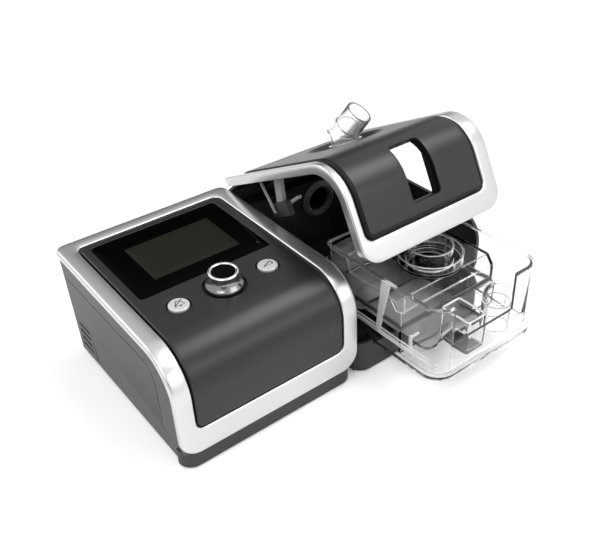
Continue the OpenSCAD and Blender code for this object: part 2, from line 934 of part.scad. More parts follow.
// Dark panel of the lid, proud of the frame with rounded edges, with the window and the dish
module lid_panel() on_lid() color([0.27, 0.27, 0.29]) {
    x0 = lid_panel_x0 + groove;
    x1 = lid_panel_x1 - groove;
    z0 = lid_band + groove;
    edge = 3.6;
    difference() {
        intersection() {
            hull()
                for (a = [0, 30, 60, 90])
                    along_x(x0 + edge * (1 - sin(a)), x1 - edge * (1 - sin(a)))
                        lid_outline(edge * (1 - cos(a)) - lid_proud, z0 + edge * (1 - sin(a)));
            front_mask(x0, x1, z0, 6);
            plate(x0, x1, -2, 173, 0, 120, 0.5, 6);
        }
        difference() {
            along_x(0, 200)
                lid_outline(lid_skin, 0);
            // Underside of the dish
            on_top(outlet_x, outlet_y)
                rotate_extrude()
                    polygon([[0, -6], [27.5, -6], [36, -2.8], [36, 5], [0, 5]]);
        }
        window_prism(0, 40);
        dish();
        on_top(outlet_x, outlet_y)
            translate([0, 0, -20])
                cylinder(r = 13, h = 40);
    }
}

// Inner moulding of the lid: it closes the frame from below and carries the hinge
module lid_inner() on_lid() color([0.1, 0.1, 0.105])
    difference() {
        union() {
            difference() {
                intersection() {
                    along_x(unit_gap + 2.6, hum_right - 2.6)
                        lid_outline(lid_skin, 22);
                    front_mask(unit_gap + 2.6, hum_right - 2.6, 22, 12.4);
                    plate(unit_gap, hum_right, 0, 172, 0, 120, 1, 8);
                }
                along_x(0, 200)
                    lid_outline(lid_skin + 2.4, 0);
            }
            intersection() {
                window_prism(2, 9);
                slab(0, 200, lid_skin, 20, 160);
            }
            for (x = [34.4, 94.6])
                along_x(x, x + 12)
                    union() {
                        translate([hinge_y, hinge_z])
                            circle(knuckle_r);
                        polygon([
                            [hinge_y - 3.4, hinge_z - 3.5], [hinge_y + 4, hinge_z + 3],
                            [172, 87.4], [160, 89.8], [160, 87]
                        ]);
                    }
            // Skirt along the rear edge
            intersection() {
                translate([8, 169.6, 71.5])
                    cube([125.5, 1.5, 20]);
                along_x(0, 200)
                    lid_outline(lid_skin + 1, 20);
            }
        }
        window_prism(0, 40);
        for (x = [30, 90])
            translate([x, hinge_y, hinge_z])
                rotate([0, 90, 0])
                    cylinder(r = pin_r + 0.06, h = 24);
        on_top(outlet_x, outlet_y)
            translate([0, 0, -20])
                cylinder(r = 34.6, h = 40);
    }

// Plan of the air channel, from over the chamber's port to under the outlet
module duct_plan(r) {
    hull() {
        translate([0, 0])
            circle(r, $fn = 32);
        translate([outlet_x - port_x, outlet_y - port_y])
            circle(r, $fn = 32);
    }
}

// Shallow channel under the dish
module lid_duct() on_lid() color([0.2, 0.2, 0.21])
    on_top(port_x, port_y)
        difference() {
            translate([0, 0, -11.6])
                linear_extrude(height = 5.6)
                    duct_plan(17);
            translate([0, 0, -10])
                linear_extrude(height = 10)
                    duct_plan(14.5);
            translate([0, 0, -20])
                cylinder(r = 12, h = 18);
        }

module lid_seal() on_lid() color([0.16, 0.17, 0.17])
    on_top(port_x, port_y) {
        translate([0, 0, -13.6])
            ring(16, 12, 2);
        translate([0, 0, -16.3])
            ring(14.4, 12.6, 3);
    }

// Light post, rod and release lever beside the chamber, under the left side of the lid
module lid_stay() on_lid() color([0.55, 0.56, 0.56])
    intersection() {
        union() {
            along_x(8, 12)
                polygon([[82, 100], [91.5, 100], [101.5, 70.8], [92.6, 70.8]]);
            along_x(8.5, 10.5)
                polygon([[120.4, 100], [122.4, 100], [112.4, 62], [110.4, 62]]);
            along_x(12, 16)
                polygon([[93.6, 66], [76, 70], [76, 72.4], [93.6, 68.8]]);
        }
        along_x(0, 200)
            lid_outline(lid_skin + 2.4, 0);
    }

// Dark box at the foot of the post
module stay_box() on_lid() color([0.1, 0.1, 0.105]) {
    along_x(7.2, 12)
        polygon([[87, 58.6], [103.5, 58.6], [103.5, 70.8], [87, 70.8]]);
    along_x(8.5, 10.5)
        polygon([[103.4, 59], [112.4, 59], [112.4, 62], [103.4, 62]]);
    along_x(11.9, 16)
        polygon([[93.6, 60], [103.5, 60], [103.5, 70.8], [93.6, 70.8]]);
}

module outlet_collar() on_lid() color([0.14, 0.14, 0.145])
    on_top(outlet_x, outlet_y) {
        translate([0, 0, -8])
            ring(12.9, 12.06, 8.5 - dish_depth);
        translate([0, 0, -dish_depth])
            ring(15, 12.06, dish_depth - 2.4);
    }

// Half of the elbow, under or beyond the mitre plane
module elbow_half(side) {
    intersection() {
        children();
        rotate([0, elbow_bend / 2, 0])
            translate([-60, -60, side > 0 ? 0 : -120])
                cube(120);
    }
}

// The elbow's two straight runs with one radius, from a low level to the end of the tube
module elbow_runs(r, low, reach) {
    elbow_half(-1)
        translate([0, 0, low])
            cylinder(r = r, h = 40);
    elbow_half(1)
        rotate([0, elbow_bend, 0])
            translate([0, 0, -20])
                cylinder(r = r, h = 20 + reach);
}

// Clear swivel elbow: a stub in the collar, a cuff over it and a mitred tube with the hose cone
module outlet_elbow() on_lid() color([0.8, 0.85, 0.88, 0.5])
    on_top(outlet_x, outlet_y)
        translate([0, 0, outlet_lift])
            rotate([0, 0, elbow_turn])
                difference() {
                    union() {
                        elbow_runs(tube_r, -outlet_lift, cone_start);
                        translate([0, 0, -outlet_lift - 8])
                            cylinder(r = 12, h = 9);
                        translate([0, 0, -outlet_lift - 2.1])
                            cylinder(r = 14, h = 2.4);
                        rotate([0, elbow_bend, 0])
                            translate([0, 0, cone_start - 1])
                                cylinder(r = cone_d / 2, h = elbow_reach - cone_start + 1);
                    }
                    elbow_runs(cone_d / 2 - 1.6, -outlet_lift - 9, elbow_reach + 1);
                }

// Clear tub with its flange and its low front
module chamber_tub() on_chamber() color([0.85, 0.9, 0.92, 0.4]) {
    difference() {
        union() {
            plate(tub_x0 - flange_out, tub_x1 + flange_out, tub_y0 - flange_out, tub_y1,
                tub_z0, tub_z0 + 3.4, tub_r + 2, 4);
            plate(tub_x0, tub_x1, tub_y0, tub_y1, tub_z0, tub_z1, tub_r, 6);
            plate(tub_x0 - 1, tub_x1 + 1, tub_y0 - 1, tub_y1 + 0.3, tub_z1 - 1.6, tub_z1, tub_r + 1, 7);
        }
        plate(tub_x0 + 2, tub_x1 - 2, tub_y0 + 2, tub_y1 - 2, tub_z0 + 2.4, 100, tub_r - 2, 4);
        plate(heat_x - 32, heat_x + 32, heat_y - 37, heat_y + 37, 20, 40, 6, 6);
        translate([tub_x0 + 14, tub_y0 - 5, 52])
            cube([63, 12, 50]);
        translate([air_x, tub_y1 + 1, air_z])
            rotate([90, 0, 0])
                cylinder(r = 12, h = 5);
    }
    // Ledge under the cover's gasket
    difference() {
        plate(tub_x0 + 1, tub_x1 - 1, 55, tub_y1 - 1, 45, 47.6, 1, 3);
        plate(tub_x0 + 4.4, tub_x1 - 4.4, 58.4, tub_y1 - 4.4, 40, 60, 1, 1);
    }
    // Cross wall of the water room
    translate([tub_x0 + 1, 55, tub_z0 + 2.4])
        cube([tub_w - 2, 2.4, 21.2]);
}

// Finger pocket behind the low front
module chamber_pocket() on_chamber() color([0.85, 0.9, 0.92, 0.4])
    difference() {
        plate(58, 78, 21, 49, tub_z0 + 2.4, 57, 3, 3);
        plate(60, 76, 23, 47, tub_z0 + 4.4, 60, 1, 1);
    }

// Tube under the plug
module filler_tube() on_chamber() color([0.85, 0.9, 0.92, 0.4])
    translate([filler_x, filler_y, tub_z0 + 2.4])
        ring(11.5, 10, filler_z1 - tub_z0 - 2.4);

// Clear cover in the tub: a raised rear, a flat part round the port and a sloping front
module chamber_cover() on_chamber() color([0.8, 0.86, 0.88, 0.5]) {
    outer = [[56, 50], [56, 62], [62, 70], [113, 70], [117, 83], [138.6, 83], [138.6, 50]];
    inner = [[58, 49], [58, 61.4], [63, 68], [114.5, 68], [118.4, 81], [136.8, 81], [136.8, 49]];
    difference() {
        intersection() {
            along_x(tub_x0 + 2.4, tub_x1 - 2.4)
                polygon(outer);
            plate(tub_x0 + 2.4, tub_x1 - 2.4, 50, 138.6, 40, 100, 1, 4);
        }
        along_x(tub_x0 + 4.2, tub_x1 - 4.2)
            polygon(inner);
        translate([port_x, port_y, 40])
            cylinder(r = port_d / 2 + 1.8, h = 60);
        translate([air_x, tub_y1 + 1, air_z])
            rotate([90, 0, 0])
                cylinder(r = 12, h = 8);
    }
}

// Round port in the cover, with its flange and a low outer ring
module port_collar() on_chamber() color([0.8, 0.86, 0.88, 0.5])
    translate([port_x, port_y, 0])
        difference() {
            union() {
                translate([0, 0, 66])
                    cylinder(r = port_d / 2 + 1.6, h = 18.7);
                difference() {
                    translate([0, 0, 70])
                        cylinder(r = 26, h = 9);
                    translate([0, 0, 71.5])
                        cylinder(r = 24.4, h = 10);
                }
            }
            translate([0, 0, 40])
                cylinder(r = port_d / 2, h = 60);
        }

module chamber_gasket() on_chamber() color([0.75, 0.78, 0.8])
    difference() {
        plate(tub_x0 + 2.3, tub_x1 - 2.3, 55.8, 138.7, 47.6, 50, 1, 3);
        plate(tub_x0 + 5, tub_x1 - 5, 59, 136, 40, 60, 1, 1);
    }

module chamber_plate() on_chamber() color([0.62, 0.63, 0.65])
    plate(heat_x - 31, heat_x + 31, heat_y - 36, heat_y + 36, tub_z0, tub_z0 + 1, 5, 5);

module plate_seal() on_chamber() color([0.3, 0.3, 0.32])
    difference() {
        plate(heat_x - 32, heat_x + 32, heat_y - 37, heat_y + 37, tub_z0, tub_z0 + 2.4, 6, 6);
        plate(heat_x - 31, heat_x + 31, heat_y - 36, heat_y + 36, 10, 40, 5, 5);
    }

// Half of a dome's section over a short upright wall
module dome2d(r) {
    square([r, 5]);
    intersection() {
        translate([0, 5])
            circle(r);
        square([r, 5 + r]);
    }
}

// Hollow plug in the mouth of the filler tube
module fill_plug() on_chamber() color([0.85, 0.9, 0.92, 0.4])
    translate([filler_x, filler_y, filler_z1])
        rotate_extrude()
            difference() {
                union() {
                    square([11.5, 4]);
                    dome2d(11);
                }
                translate([0, -1])
                    dome2d(9.2);
            }

main_bottom();
main_shell();
main_front_skirt();
main_top_frame();
main_top_panel();
display_glass();
display_module();
control_board();
key_switches();
encoder_body();
encoder_plunger();
encoder_shaft();
knob();
knob_ring();
knob_cap();
mute_button();
ramp_button();
main_board();
blower_volute();
blower_cover();
blower_motor();
motor_shaft();
impeller();
blower_mount();
inlet_filter();
filter_cover();
air_coupling();
power_inlet();
card_slot();
main_feet();
main_screws();
hum_base();
bay_liner();
air_block();
inlet_seal();
heater_plate();
heater_springs();
heater_board();
hinge_pins();
hum_feet();
hum_screws();
lid_frame();
lid_panel();
lid_inner();
lid_duct();
lid_seal();
lid_stay();
stay_box();
outlet_collar();
outlet_elbow();
chamber_tub();
chamber_pocket();
filler_tube();
chamber_cover();
port_collar();
chamber_gasket();
chamber_plate();
plate_seal();
fill_plug();
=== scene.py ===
"""Looks of a bilevel airway pressure machine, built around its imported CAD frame.

The lid stands part open over a clear water chamber that is drawn out to the front. Sizes are in
millimetres in the modules' own axes: X is zero where the two units meet, Y is zero at the front
faces and Z is zero under the feet. Each piece is seated in the part's frame, in metres, at the end.
"""

import logging
import math
from dataclasses import dataclass, field
from enum import Enum
from typing import Callable, Optional, Protocol, Sequence

import bmesh
import bpy
import numpy as np
from mathutils import Matrix, Vector
from mathutils.geometry import delaunay_2d_cdt


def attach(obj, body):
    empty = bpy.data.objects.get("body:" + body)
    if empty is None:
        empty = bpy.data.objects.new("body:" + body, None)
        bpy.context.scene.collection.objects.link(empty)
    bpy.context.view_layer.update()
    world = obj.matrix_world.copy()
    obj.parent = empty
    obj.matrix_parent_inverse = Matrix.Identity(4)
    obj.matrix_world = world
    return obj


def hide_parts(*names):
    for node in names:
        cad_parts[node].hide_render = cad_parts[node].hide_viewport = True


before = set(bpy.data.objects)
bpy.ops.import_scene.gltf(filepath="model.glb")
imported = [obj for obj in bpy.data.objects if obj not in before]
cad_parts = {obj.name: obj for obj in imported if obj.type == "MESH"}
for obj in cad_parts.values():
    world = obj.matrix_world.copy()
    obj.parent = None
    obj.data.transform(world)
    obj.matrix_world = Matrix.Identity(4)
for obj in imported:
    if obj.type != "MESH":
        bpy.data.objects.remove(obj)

log = logging.getLogger("bedside_machine")

Array = np.ndarray
Faces = list[tuple[int, ...]]
Pair = tuple[float, float]
Triple = tuple[float, float, float]
Quad = tuple[float, float, float, float]
Profile = Sequence[Pair]
HeightMap = Callable[[Array, Array], Array]
Value = float | Sequence[float] | bpy.types.NodeSocket

# Millimetres in a metre
MM = 1000.0

# Width of the main unit, and left and right side of the humidifier
MAIN_W = 152.0
UNIT_GAP = 1.7
HUM_RIGHT = 139.8

# Side line of both units: depth, heights at the front and the rear, and the front bend
DEPTH = 175.0
FRONT_H = 94.4
REAR_H = 100.1
BEND_R = 32.5
SLOPE = math.atan((REAR_H - FRONT_H) / DEPTH)
ARC_Z = FRONT_H + BEND_R * math.tan(SLOPE) - BEND_R / math.cos(SLOPE)

# Hinge line and angle of the lid, and how far the chamber is drawn out
HINGE_Y = 181.3
HINGE_Z = 79.5
LID_ANGLE = math.radians(27.3)
CHAMBER_OUT = 75.0

# The part's origin in the modules' axes, and the line of the knob
ORIGIN = np.array([-6.1, 62.15, 0.0])
KNOB_X = -MAIN_W / 2

# Angles in degrees below which an edge is shaded smooth and above which it is eased
SMOOTH = 35.0
SMOOTH_EASED = 32.0
EASE_ABOVE = 28.0

# Distance below which two points are one, on a new piece and on a copied node, in metres
WELD = 1e-6
WELD_COPY = 2e-6


class Seat(Enum):
    """Where a sub-assembly's own millimetres lie in the part."""

    FIXED = "fixed"
    LID = "lid"
    CHAMBER = "chamber"


# Seat of the bodies whose new pieces are laid out away from their place in the part
SEATS = {"lid": Seat.LID, "elbow": Seat.LID, "chamber": Seat.CHAMBER}


def seated(points: Array, seat: Seat) -> Array:
    """Carries points from the modules' millimetres to the part's metres.

    A lid point turns about the hinge line by the lid's angle: with a = angle,
    y' = y cos a + z sin a and z' = z cos a - y sin a, both measured from the hinge.
    A chamber point moves forward by the distance that the chamber is drawn out.

    Args:
        points: n x 3 array in millimetres, lid closed and chamber home.
        seat: the sub-assembly that the points belong to.

    Returns:
        n x 3 array in metres.
    """
    p = np.array(points, float)
    if seat is Seat.LID:
        y, z = p[:, 1] - HINGE_Y, p[:, 2] - HINGE_Z
        c, s = math.cos(LID_ANGLE), math.sin(LID_ANGLE)
        p[:, 1], p[:, 2] = HINGE_Y + y * c + z * s, HINGE_Z + z * c - y * s
    elif seat is Seat.CHAMBER:
        p[:, 1] -= CHAMBER_OUT
    return (p - ORIGIN) / MM


# Surfaces


@dataclass(frozen=True)
class Skin:
    """Closed surface of a piece.

    Attributes:
        points: n x 3 array in millimetres.
        faces: point numbers of each face.
        painted_shade: faces that take a darker copy of the charcoal, painted shade.
    """

    points: Array
    faces: Faces
    painted_shade: Sequence[int] = ()

    def on_top(self, x: float, y: float) -> "Skin":
        """Stands a local skin on the sloping top, with its Z along the slope's normal.

        With a = slope, y' = y cos a - z sin a and z' = y sin a + z cos a, both from the place.

        Args:
            x: place across the unit.
            y: place over its depth.

        Returns:
            The skin in the modules' axes.
        """
        p, c, s = self.points, math.cos(SLOPE), math.sin(SLOPE)
        along = p[:, 1] * c - p[:, 2] * s + y
        up = p[:, 1] * s + p[:, 2] * c + FRONT_H + y * math.tan(SLOPE)
        return Skin(np.column_stack([p[:, 0] + x, along, up]), self.faces, self.painted_shade)


class Carrier(Protocol):
    """Anything that bends a plate's flat coordinates to their place."""

    def place(self, x: Array, s: Array, h: Array) -> Array:
        """Points at x, length s and height h."""


class Outline(Protocol):
    """Closed line that bounds a plate or a hole."""

    def ring(self, inset: float) -> Array:
        """Points of the line moved inwards."""

    def inside(self, p: Array, inset: float) -> Array:
        """Marks the points inside the ring at an inset."""


@dataclass(frozen=True)
class SideLine:
    """Side line of a unit: upright front, round bend, sloping top and an optional rear slope.

    A point is given by s, the length along the line from the table up the front and over the
    top, and by h, its height over the line along the line's normal.

    Attributes:
        ridge_y: depth at which the top turns down to the rear, if it does.
        rear_turn: angle of that turn.
        ridge_r: radius of that turn.
    """

    ridge_y: Optional[float] = None
    rear_turn: float = math.radians(14.97)
    ridge_r: float = 14.0

    def s_of_z(self, z: float) -> float:
        """Length at a height on the front, or on the bend, where it is ARC_Z + r asin((z - ARC_Z) / r)."""
        return z if z <= ARC_Z else ARC_Z + BEND_R * math.asin((z - ARC_Z) / BEND_R)

    def s_of_y(self, y: float) -> float:
        """Length at a distance from the front face on the sloping top."""
        return self.arc_end + (y - BEND_R + BEND_R * math.sin(SLOPE)) / math.cos(SLOPE)

    @property
    def arc_end(self) -> float:
        """Length at which the bend runs into the sloping top."""
        return ARC_Z + BEND_R * (math.pi / 2 - SLOPE)

    def point(self, s: Array) -> tuple[Array, Array, Array]:
        """Walks the line piece by piece.

        On the bend the angle t = (s - ARC_Z) / r gives y = r - r cos t and z = ARC_Z + r sin t;
        beyond it the line is straight, and at the ridge it turns down on an arc of radius ridge_r.

        Args:
            s: lengths along the line.

        Returns:
            y, z and the line's turn from upright at each length.
        """
        s = np.asarray(s, float)
        turn = np.clip((s - ARC_Z) / BEND_R, 0.0, math.pi / 2 - SLOPE)
        over = np.maximum(s - self.arc_end, 0.0)
        y = BEND_R - BEND_R * np.cos(turn) + over * math.cos(SLOPE)
        z = np.where(s < ARC_Z, s, ARC_Z + BEND_R * np.sin(turn)) + over * math.sin(SLOPE)
        if self.ridge_y is None:
            return y, z, turn
        cut = self.ridge_r * math.tan(self.rear_turn / 2)
        start = self.s_of_y(self.ridge_y) - cut
        y0 = self.ridge_y - cut * math.cos(SLOPE)
        z0 = FRONT_H + self.ridge_y * math.tan(SLOPE) - cut * math.sin(SLOPE)
        lean = SLOPE - np.clip((s - start) / self.ridge_r, 0.0, self.rear_turn)
        tail = np.maximum(s - start - self.ridge_r * self.rear_turn, 0.0)
        ya = y0 + self.ridge_r * (math.sin(SLOPE) - np.sin(lean)) + tail * np.cos(lean)
        za = z0 + self.ridge_r * (np.cos(lean) - math.cos(SLOPE)) + tail * np.sin(lean)
        past = s > start
        return np.where(past, ya, y), np.where(past, za, z), np.where(past, math.pi / 2 - lean, turn)

    def place(self, x: Array, s: Array, h: Array) -> Array:
        """Bends flat coordinates over the line: its point at s plus h times its normal, with x kept."""
        y, z, turn = self.point(s)
        return np.column_stack([x, y - h * np.cos(turn), z + h * np.sin(turn)])


@dataclass(frozen=True)
class Flat:
    """Plane patch that stands in for a side line where a plate isn't bent."""

    height: float

    def place(self, x: Array, s: Array, h: Array) -> Array:
        """Keeps x and s as X and Y and adds h to the plane's height."""
        return np.column_stack([x, s, h + self.height])


@dataclass(frozen=True)
class Loop:
    """Closed outline of straight runs joined by arcs, given counter-clockwise.

    Attributes:
        corners: corner points.
        radii: radius at each corner.
        step: longest piece of a straight run.
        arc: number of pieces of a quarter turn.
    """

    corners: tuple[Pair, ...]
    radii: tuple[float, ...]
    step: float = 3.0
    arc: int = 8

    def ring(self, inset: float) -> Array:
        """Points of the outline moved inwards by a distance, always in the same number.

        An arc's centre stays and its radius becomes r - inset at an outer corner and r + inset at
        an inner one, so that points of two rings pair up.

        Args:
            inset: distance inwards; negative moves outwards.

        Returns:
            n x 2 array.
        """
        c = np.array(self.corners, float)
        arcs: list[Array] = []
        ends: list[tuple[Array, Array]] = []
        for a, b, d, r in zip(np.roll(c, 1, axis=0), c, np.roll(c, -1, axis=0), self.radii):
            u, v = (b - a) / np.linalg.norm(b - a), (d - b) / np.linalg.norm(d - b)
            turn = math.atan2(u[0] * v[1] - u[1] * v[0], float(u @ v))
            side = math.copysign(1.0, turn)
            cut = r * math.tan(abs(turn) / 2)
            left = np.array([-u[1], u[0]]) * side
            k = max(2, round(self.arc * abs(turn) / (math.pi / 2)))
            t = math.atan2(-left[1], -left[0]) + np.linspace(0, turn, k + 1)
            arcs.append(b - u * cut + left * r + (r - inset * side) * np.column_stack([np.cos(t), np.sin(t)]))
            ends.append((b - u * cut, b + v * cut))
        out: list[Array] = []
        for arc, after, (_, start), (end, _) in zip(arcs, arcs[1:] + arcs[:1], ends, ends[1:] + ends[:1]):
            k = int(np.linalg.norm(end - start) // self.step)
            w = (np.arange(1, k + 1) / (k + 1))[:, None]
            out += [arc, arc[-1] * (1 - w) + after[0] * w]
        return np.vstack(out)

    def inside(self, p: Array, inset: float) -> Array:
        """Marks the points inside the ring at an inset, by counting crossings of a ray.

        Args:
            p: n x 2 points.
            inset: distance of the ring inwards from the outline.

        Returns:
            True for each point inside.
        """
        a = self.ring(inset)
        b = np.roll(a, -1, axis=0)
        x, y = p[:, 0][:, None], p[:, 1][:, None]
        cross = (a[:, 1] > y) != (b[:, 1] > y)
        with np.errstate(divide="ignore", invalid="ignore"):
            at = (b[:, 0] - a[:, 0]) * (y - a[:, 1]) / (b[:, 1] - a[:, 1]) + a[:, 0]
        return np.sum(cross & (x < at), axis=1) % 2 == 1


def rounded_box(x: Pair, y: Pair, radii: Quad, step: float = 3.0, arc: int = 10) -> Loop:
    """Outline of a rectangle; the radii run counter-clockwise from its lower left corner."""
    return Loop(((x[0], y[0]), (x[1], y[0]), (x[1], y[1]), (x[0], y[1])), radii, step, arc)


@dataclass(frozen=True)
class Disc:
    """Round outline about x and y, with radius r and n points."""

    x: float
    y: float
    r: float
    n: int = 72

    def ring(self, inset: float) -> Array:
        """Points of the circle of radius r - inset."""
        a = np.linspace(0, 2 * math.pi, self.n, endpoint=False)
        return np.array([self.x, self.y]) + (self.r - inset) * np.column_stack([np.cos(a), np.sin(a)])

    def inside(self, p: Array, inset: float) -> Array:
        """Marks the points nearer to the centre than r - inset."""
        return np.hypot(p[:, 0] - self.x, p[:, 1] - self.y) < self.r - inset


def rounding(radius: float, steps: int) -> list[Pair]:
    """Rounded rim of a plate: inset r (1 - cos t) and height -r (1 - sin t) for t from 0 to 90 degrees."""
    t = np.linspace(0, math.pi / 2, steps + 1)
    return list(zip((radius * (1 - np.cos(t))).tolist(), (-radius * (1 - np.sin(t))).tolist()))


def fillet(depth: float, radius: float, steps: int = 3) -> list[Pair]:
    """Edge of a plate from its underside up an upright side and over its rounded rim."""
    return [(0.0, -depth)] + rounding(radius, steps)


def polygons(rows: Array) -> Faces:
    """Rows of point numbers as faces."""
    return [tuple(row) for row in rows.tolist()]


def joined(low: Array, high: Array) -> Faces:
    """Faces between two closed rows of points: low i, low i + 1, high i + 1, high i."""
    return polygons(np.column_stack([low, np.roll(low, -1), np.roll(high, -1), high]))


@dataclass(frozen=True)
class Plate:
    """Plate with rounded edges, holes and a height over its face, bent over its carrier.

    Attributes:
        outer: outline of the plate.
        edge: inset and height pairs of its edge, from the underside up.
        line: side line or flat patch that carries the plate.
        holes: outlines of its holes, each with the pairs of its own edge.
        lift: height of the face over the line.
        grid: spacing of the inner points.
        height: added height of the face over x and s, such as a crown or a dish.
        under: added height of the underside over x and s.
        creases: outlines that the inner points follow; no grid is laid inside the largest.
        painted_shade_steps: steps of the outer edge, from the underside, that take painted shade.
        painted_shade_holes: holes whose walls take painted shade.
    """

    outer: Loop
    edge: Profile
    line: Carrier
    holes: Sequence[tuple[Outline, Profile]] = ()
    lift: float = 0.0
    grid: float = 3.0
    height: Optional[HeightMap] = None
    under: Optional[HeightMap] = None
    creases: Sequence[Disc] = ()
    painted_shade_steps: int = 0
    painted_shade_holes: Sequence[int] = ()

    def covers(self, p: Array, gap: float) -> Array:
        """Marks the points of the face that keep a gap to its outline and its holes.

        Args:
            p: n x 2 points.
            gap: smallest distance.

        Returns:
            True for each such point.
        """
        keep = self.outer.inside(p, self.edge[-1][0] + gap)
        for hole, edge in self.holes:
            keep &= ~hole.inside(p, -edge[-1][0] - gap)
        return keep

    def inner_points(self, border: Array, folds: Sequence[Array]) -> Array:
        """Points between the borders: the folds, and a square grid that keeps clear of everything.

        Args:
            border: outline of the face.
            folds: rings of the creases.

        Returns:
            n x 2 array.
        """
        gap = 0.45 * self.grid
        ends = zip(border.min(0) + self.grid / 2, border.max(0))
        p = np.stack(np.meshgrid(*(np.arange(a, b, self.grid) for a, b in ends)), -1).reshape(-1, 2)
        keep = self.covers(p, gap)
        for crease in self.creases:
            keep &= ~crease.inside(p, -gap)
        return np.vstack([*folds, p[keep]])

    def triangles(self, points: Array, rings: Sequence[Array]) -> Array:
        """Triangulates the face with Delaunay's rule, along the rings that its first points form.

        Args:
            points: n x 2 points, the rings' first.
            rings: closed rings that stay as edges.

        Returns:
            Rows of three point numbers, counter-clockwise.
        """
        ties: list[tuple[int, int]] = []
        for ring in rings:
            index = np.arange(len(ring)) + len(ties)
            ties += zip(index.tolist(), np.roll(index, -1).tolist())
        out = delaunay_2d_cdt([Vector(p) for p in points.tolist()], ties, [], 0, 1e-5)
        places = np.array([tuple(v) for v in out[0]])
        tri = np.array([f for f in out[2] if len(f) == 3])
        origin = np.array([o[0] if o else -1 for o in out[3]])
        tri = origin[tri[self.covers(places[tri].mean(1), 0.0) & (origin[tri] >= 0).all(1)]]
        u, v = points[tri[:, 1]] - points[tri[:, 0]], points[tri[:, 2]] - points[tri[:, 0]]
        area = u[:, 0] * v[:, 1] - u[:, 1] * v[:, 0]
        tri[area < 0] = tri[area < 0][:, ::-1]
        return tri[np.abs(area) > 1e-9]

    def build(self) -> Skin:
        """Joins the rings of every edge with the triangulated face and underside.

        The height over the face fades to nothing, and the one under it grows, over the depth.

        Returns:
            The plate's skin.
        """
        edges = [(self.outer, self.edge, 1), *((hole, edge, -1) for hole, edge in self.holes)]
        rings = [[outline.ring(side * inset) for inset, _ in edge] for outline, edge, side in edges]
        folds = [crease.ring(0.0) for crease in self.creases]
        borders = [row[-1] for row in rings]
        inner = self.inner_points(borders[0], folds)
        tri = self.triangles(np.vstack([*borders, inner]), [*borders, *folds])

        depth = -self.edge[0][1]
        flat = [ring for row in rings for ring in row] + [inner, inner]
        drops = [z for _, edge, _ in edges for _, z in edge] + [0.0, -depth]
        counts = [len(points) for points in flat]
        (x, s), h = np.vstack(flat).T, np.repeat(drops, counts)
        fade = np.clip(1.0 + h / depth, 0.0, 1.0)
        if self.height is not None:
            h = h + self.height(x, s) * fade
        if self.under is not None:
            h = h + self.under(x, s) * (1.0 - fade)

        numbers = iter(np.split(np.arange(len(x)), np.cumsum(counts)[:-1]))
        rows = [[next(numbers) for _ in row] for row in rings]
        top = np.concatenate([row[-1] for row in rows] + [next(numbers)])
        low = np.concatenate([row[0] for row in rows] + [next(numbers)])
        faces = polygons(top[tri]) + polygons(low[tri][:, ::-1])
        # Chosen edge steps and hole walls take the darker charcoal: painted shade.
        painted_shade: list[int] = []
        for hole, (row, (_, _, side)) in enumerate(zip(rows, edges), -1):
            for step, (p, q) in enumerate(zip(row[:-1], row[1:])):
                if hole in self.painted_shade_holes or (hole < 0 and step < self.painted_shade_steps):
                    painted_shade += range(len(faces), len(faces) + len(p))
                faces += joined(p, q) if side > 0 else joined(q, p)
        return Skin(self.line.place(x, s, h + self.lift), faces, painted_shade)


def lofted(rings: Array, closed: bool) -> Skin:
    """Skin over a stack of rings: point j of ring i is joined to point j of ring i + 1.

    Args:
        rings: k x n x 3 array; a ring of radius zero becomes a pole when its doubles are merged.
        closed: True joins the last ring to the first.

    Returns:
        The skin.
    """
    low = np.arange(rings.shape[0] * rings.shape[1]).reshape(rings.shape[:2])
    high = np.roll(low, -1, axis=0)
    quads = np.stack([low, np.roll(low, -1, axis=1), np.roll(high, -1, axis=1), high], axis=-1)
    return Skin(rings.reshape(-1, 3), polygons(quads[:len(quads) - (not closed)].reshape(-1, 4)))


def turned(profile: Profile, segments: int) -> Skin:
    """Surface of revolution about Z: a profile point (r, z) at angle a is (r cos a, r sin a, z).

    Args:
        profile: radius and height pairs from the lower pole or edge to the upper one, closed when
            its last point meets its first.
        segments: pieces of the full turn.

    Returns:
        The skin.
    """
    pairs = np.array(profile, float)
    closed = bool(np.allclose(pairs[0], pairs[-1]))
    r, z = pairs[:len(pairs) - closed].T[:, :, None]
    a = np.linspace(0, 2 * math.pi, segments, endpoint=False)
    return lofted(np.stack([r * np.cos(a), r * np.sin(a), z + 0.0 * a], axis=-1), closed)


def prism(outline: Profile, x: Pair) -> Skin:
    """Closed solid with an outline over y and z, reaching between two places on X.

    Args:
        outline: y and z pairs.
        x: left and right end.

    Returns:
        The skin.
    """
    n = len(outline)
    sides = lofted(np.stack([np.column_stack([np.full(n, end), outline]) for end in x]), False)
    return Skin(sides.points, sides.faces + [tuple(range(n))[::-1], tuple(range(n, 2 * n))])


def distance(p: Array, ring: Array) -> Array:
    """Distance from points to a closed ring: to the nearest point a + t (b - a) of its pieces.

    Args:
        p: n x 2 points.
        ring: m x 2 points.

    Returns:
        n distances.
    """
    run = np.roll(ring, -1, axis=0) - ring
    t = np.clip(((p[:, None, :] - ring) * run).sum(-1) / (run * run).sum(-1), 0, 1)
    return np.linalg.norm(p[:, None, :] - (ring + t[..., None] * run), axis=-1).min(1)


def strip_crown(outer: Loop, inner: Loop, reach: float, rise: float) -> HeightMap:
    """Height of a gently crowned strip between two outlines.

    It is rise times 4 a b / (a + b) squared, with a and b the distances to the outlines, each
    capped at the reach.

    Args:
        outer: outer outline.
        inner: inner outline.
        reach: distance over which the strip rounds off.
        rise: height of the crown.

    Returns:
        The height over x and s.
    """
    def height(x: Array, s: Array) -> Array:
        """Crown over each point."""
        a, b = (np.minimum(distance(np.column_stack([x, s]), o.ring(0.0)), reach) for o in (outer, inner))
        return rise * 4 * a * b / np.maximum((a + b) ** 2, 1e-6)

    return height


# Finishes


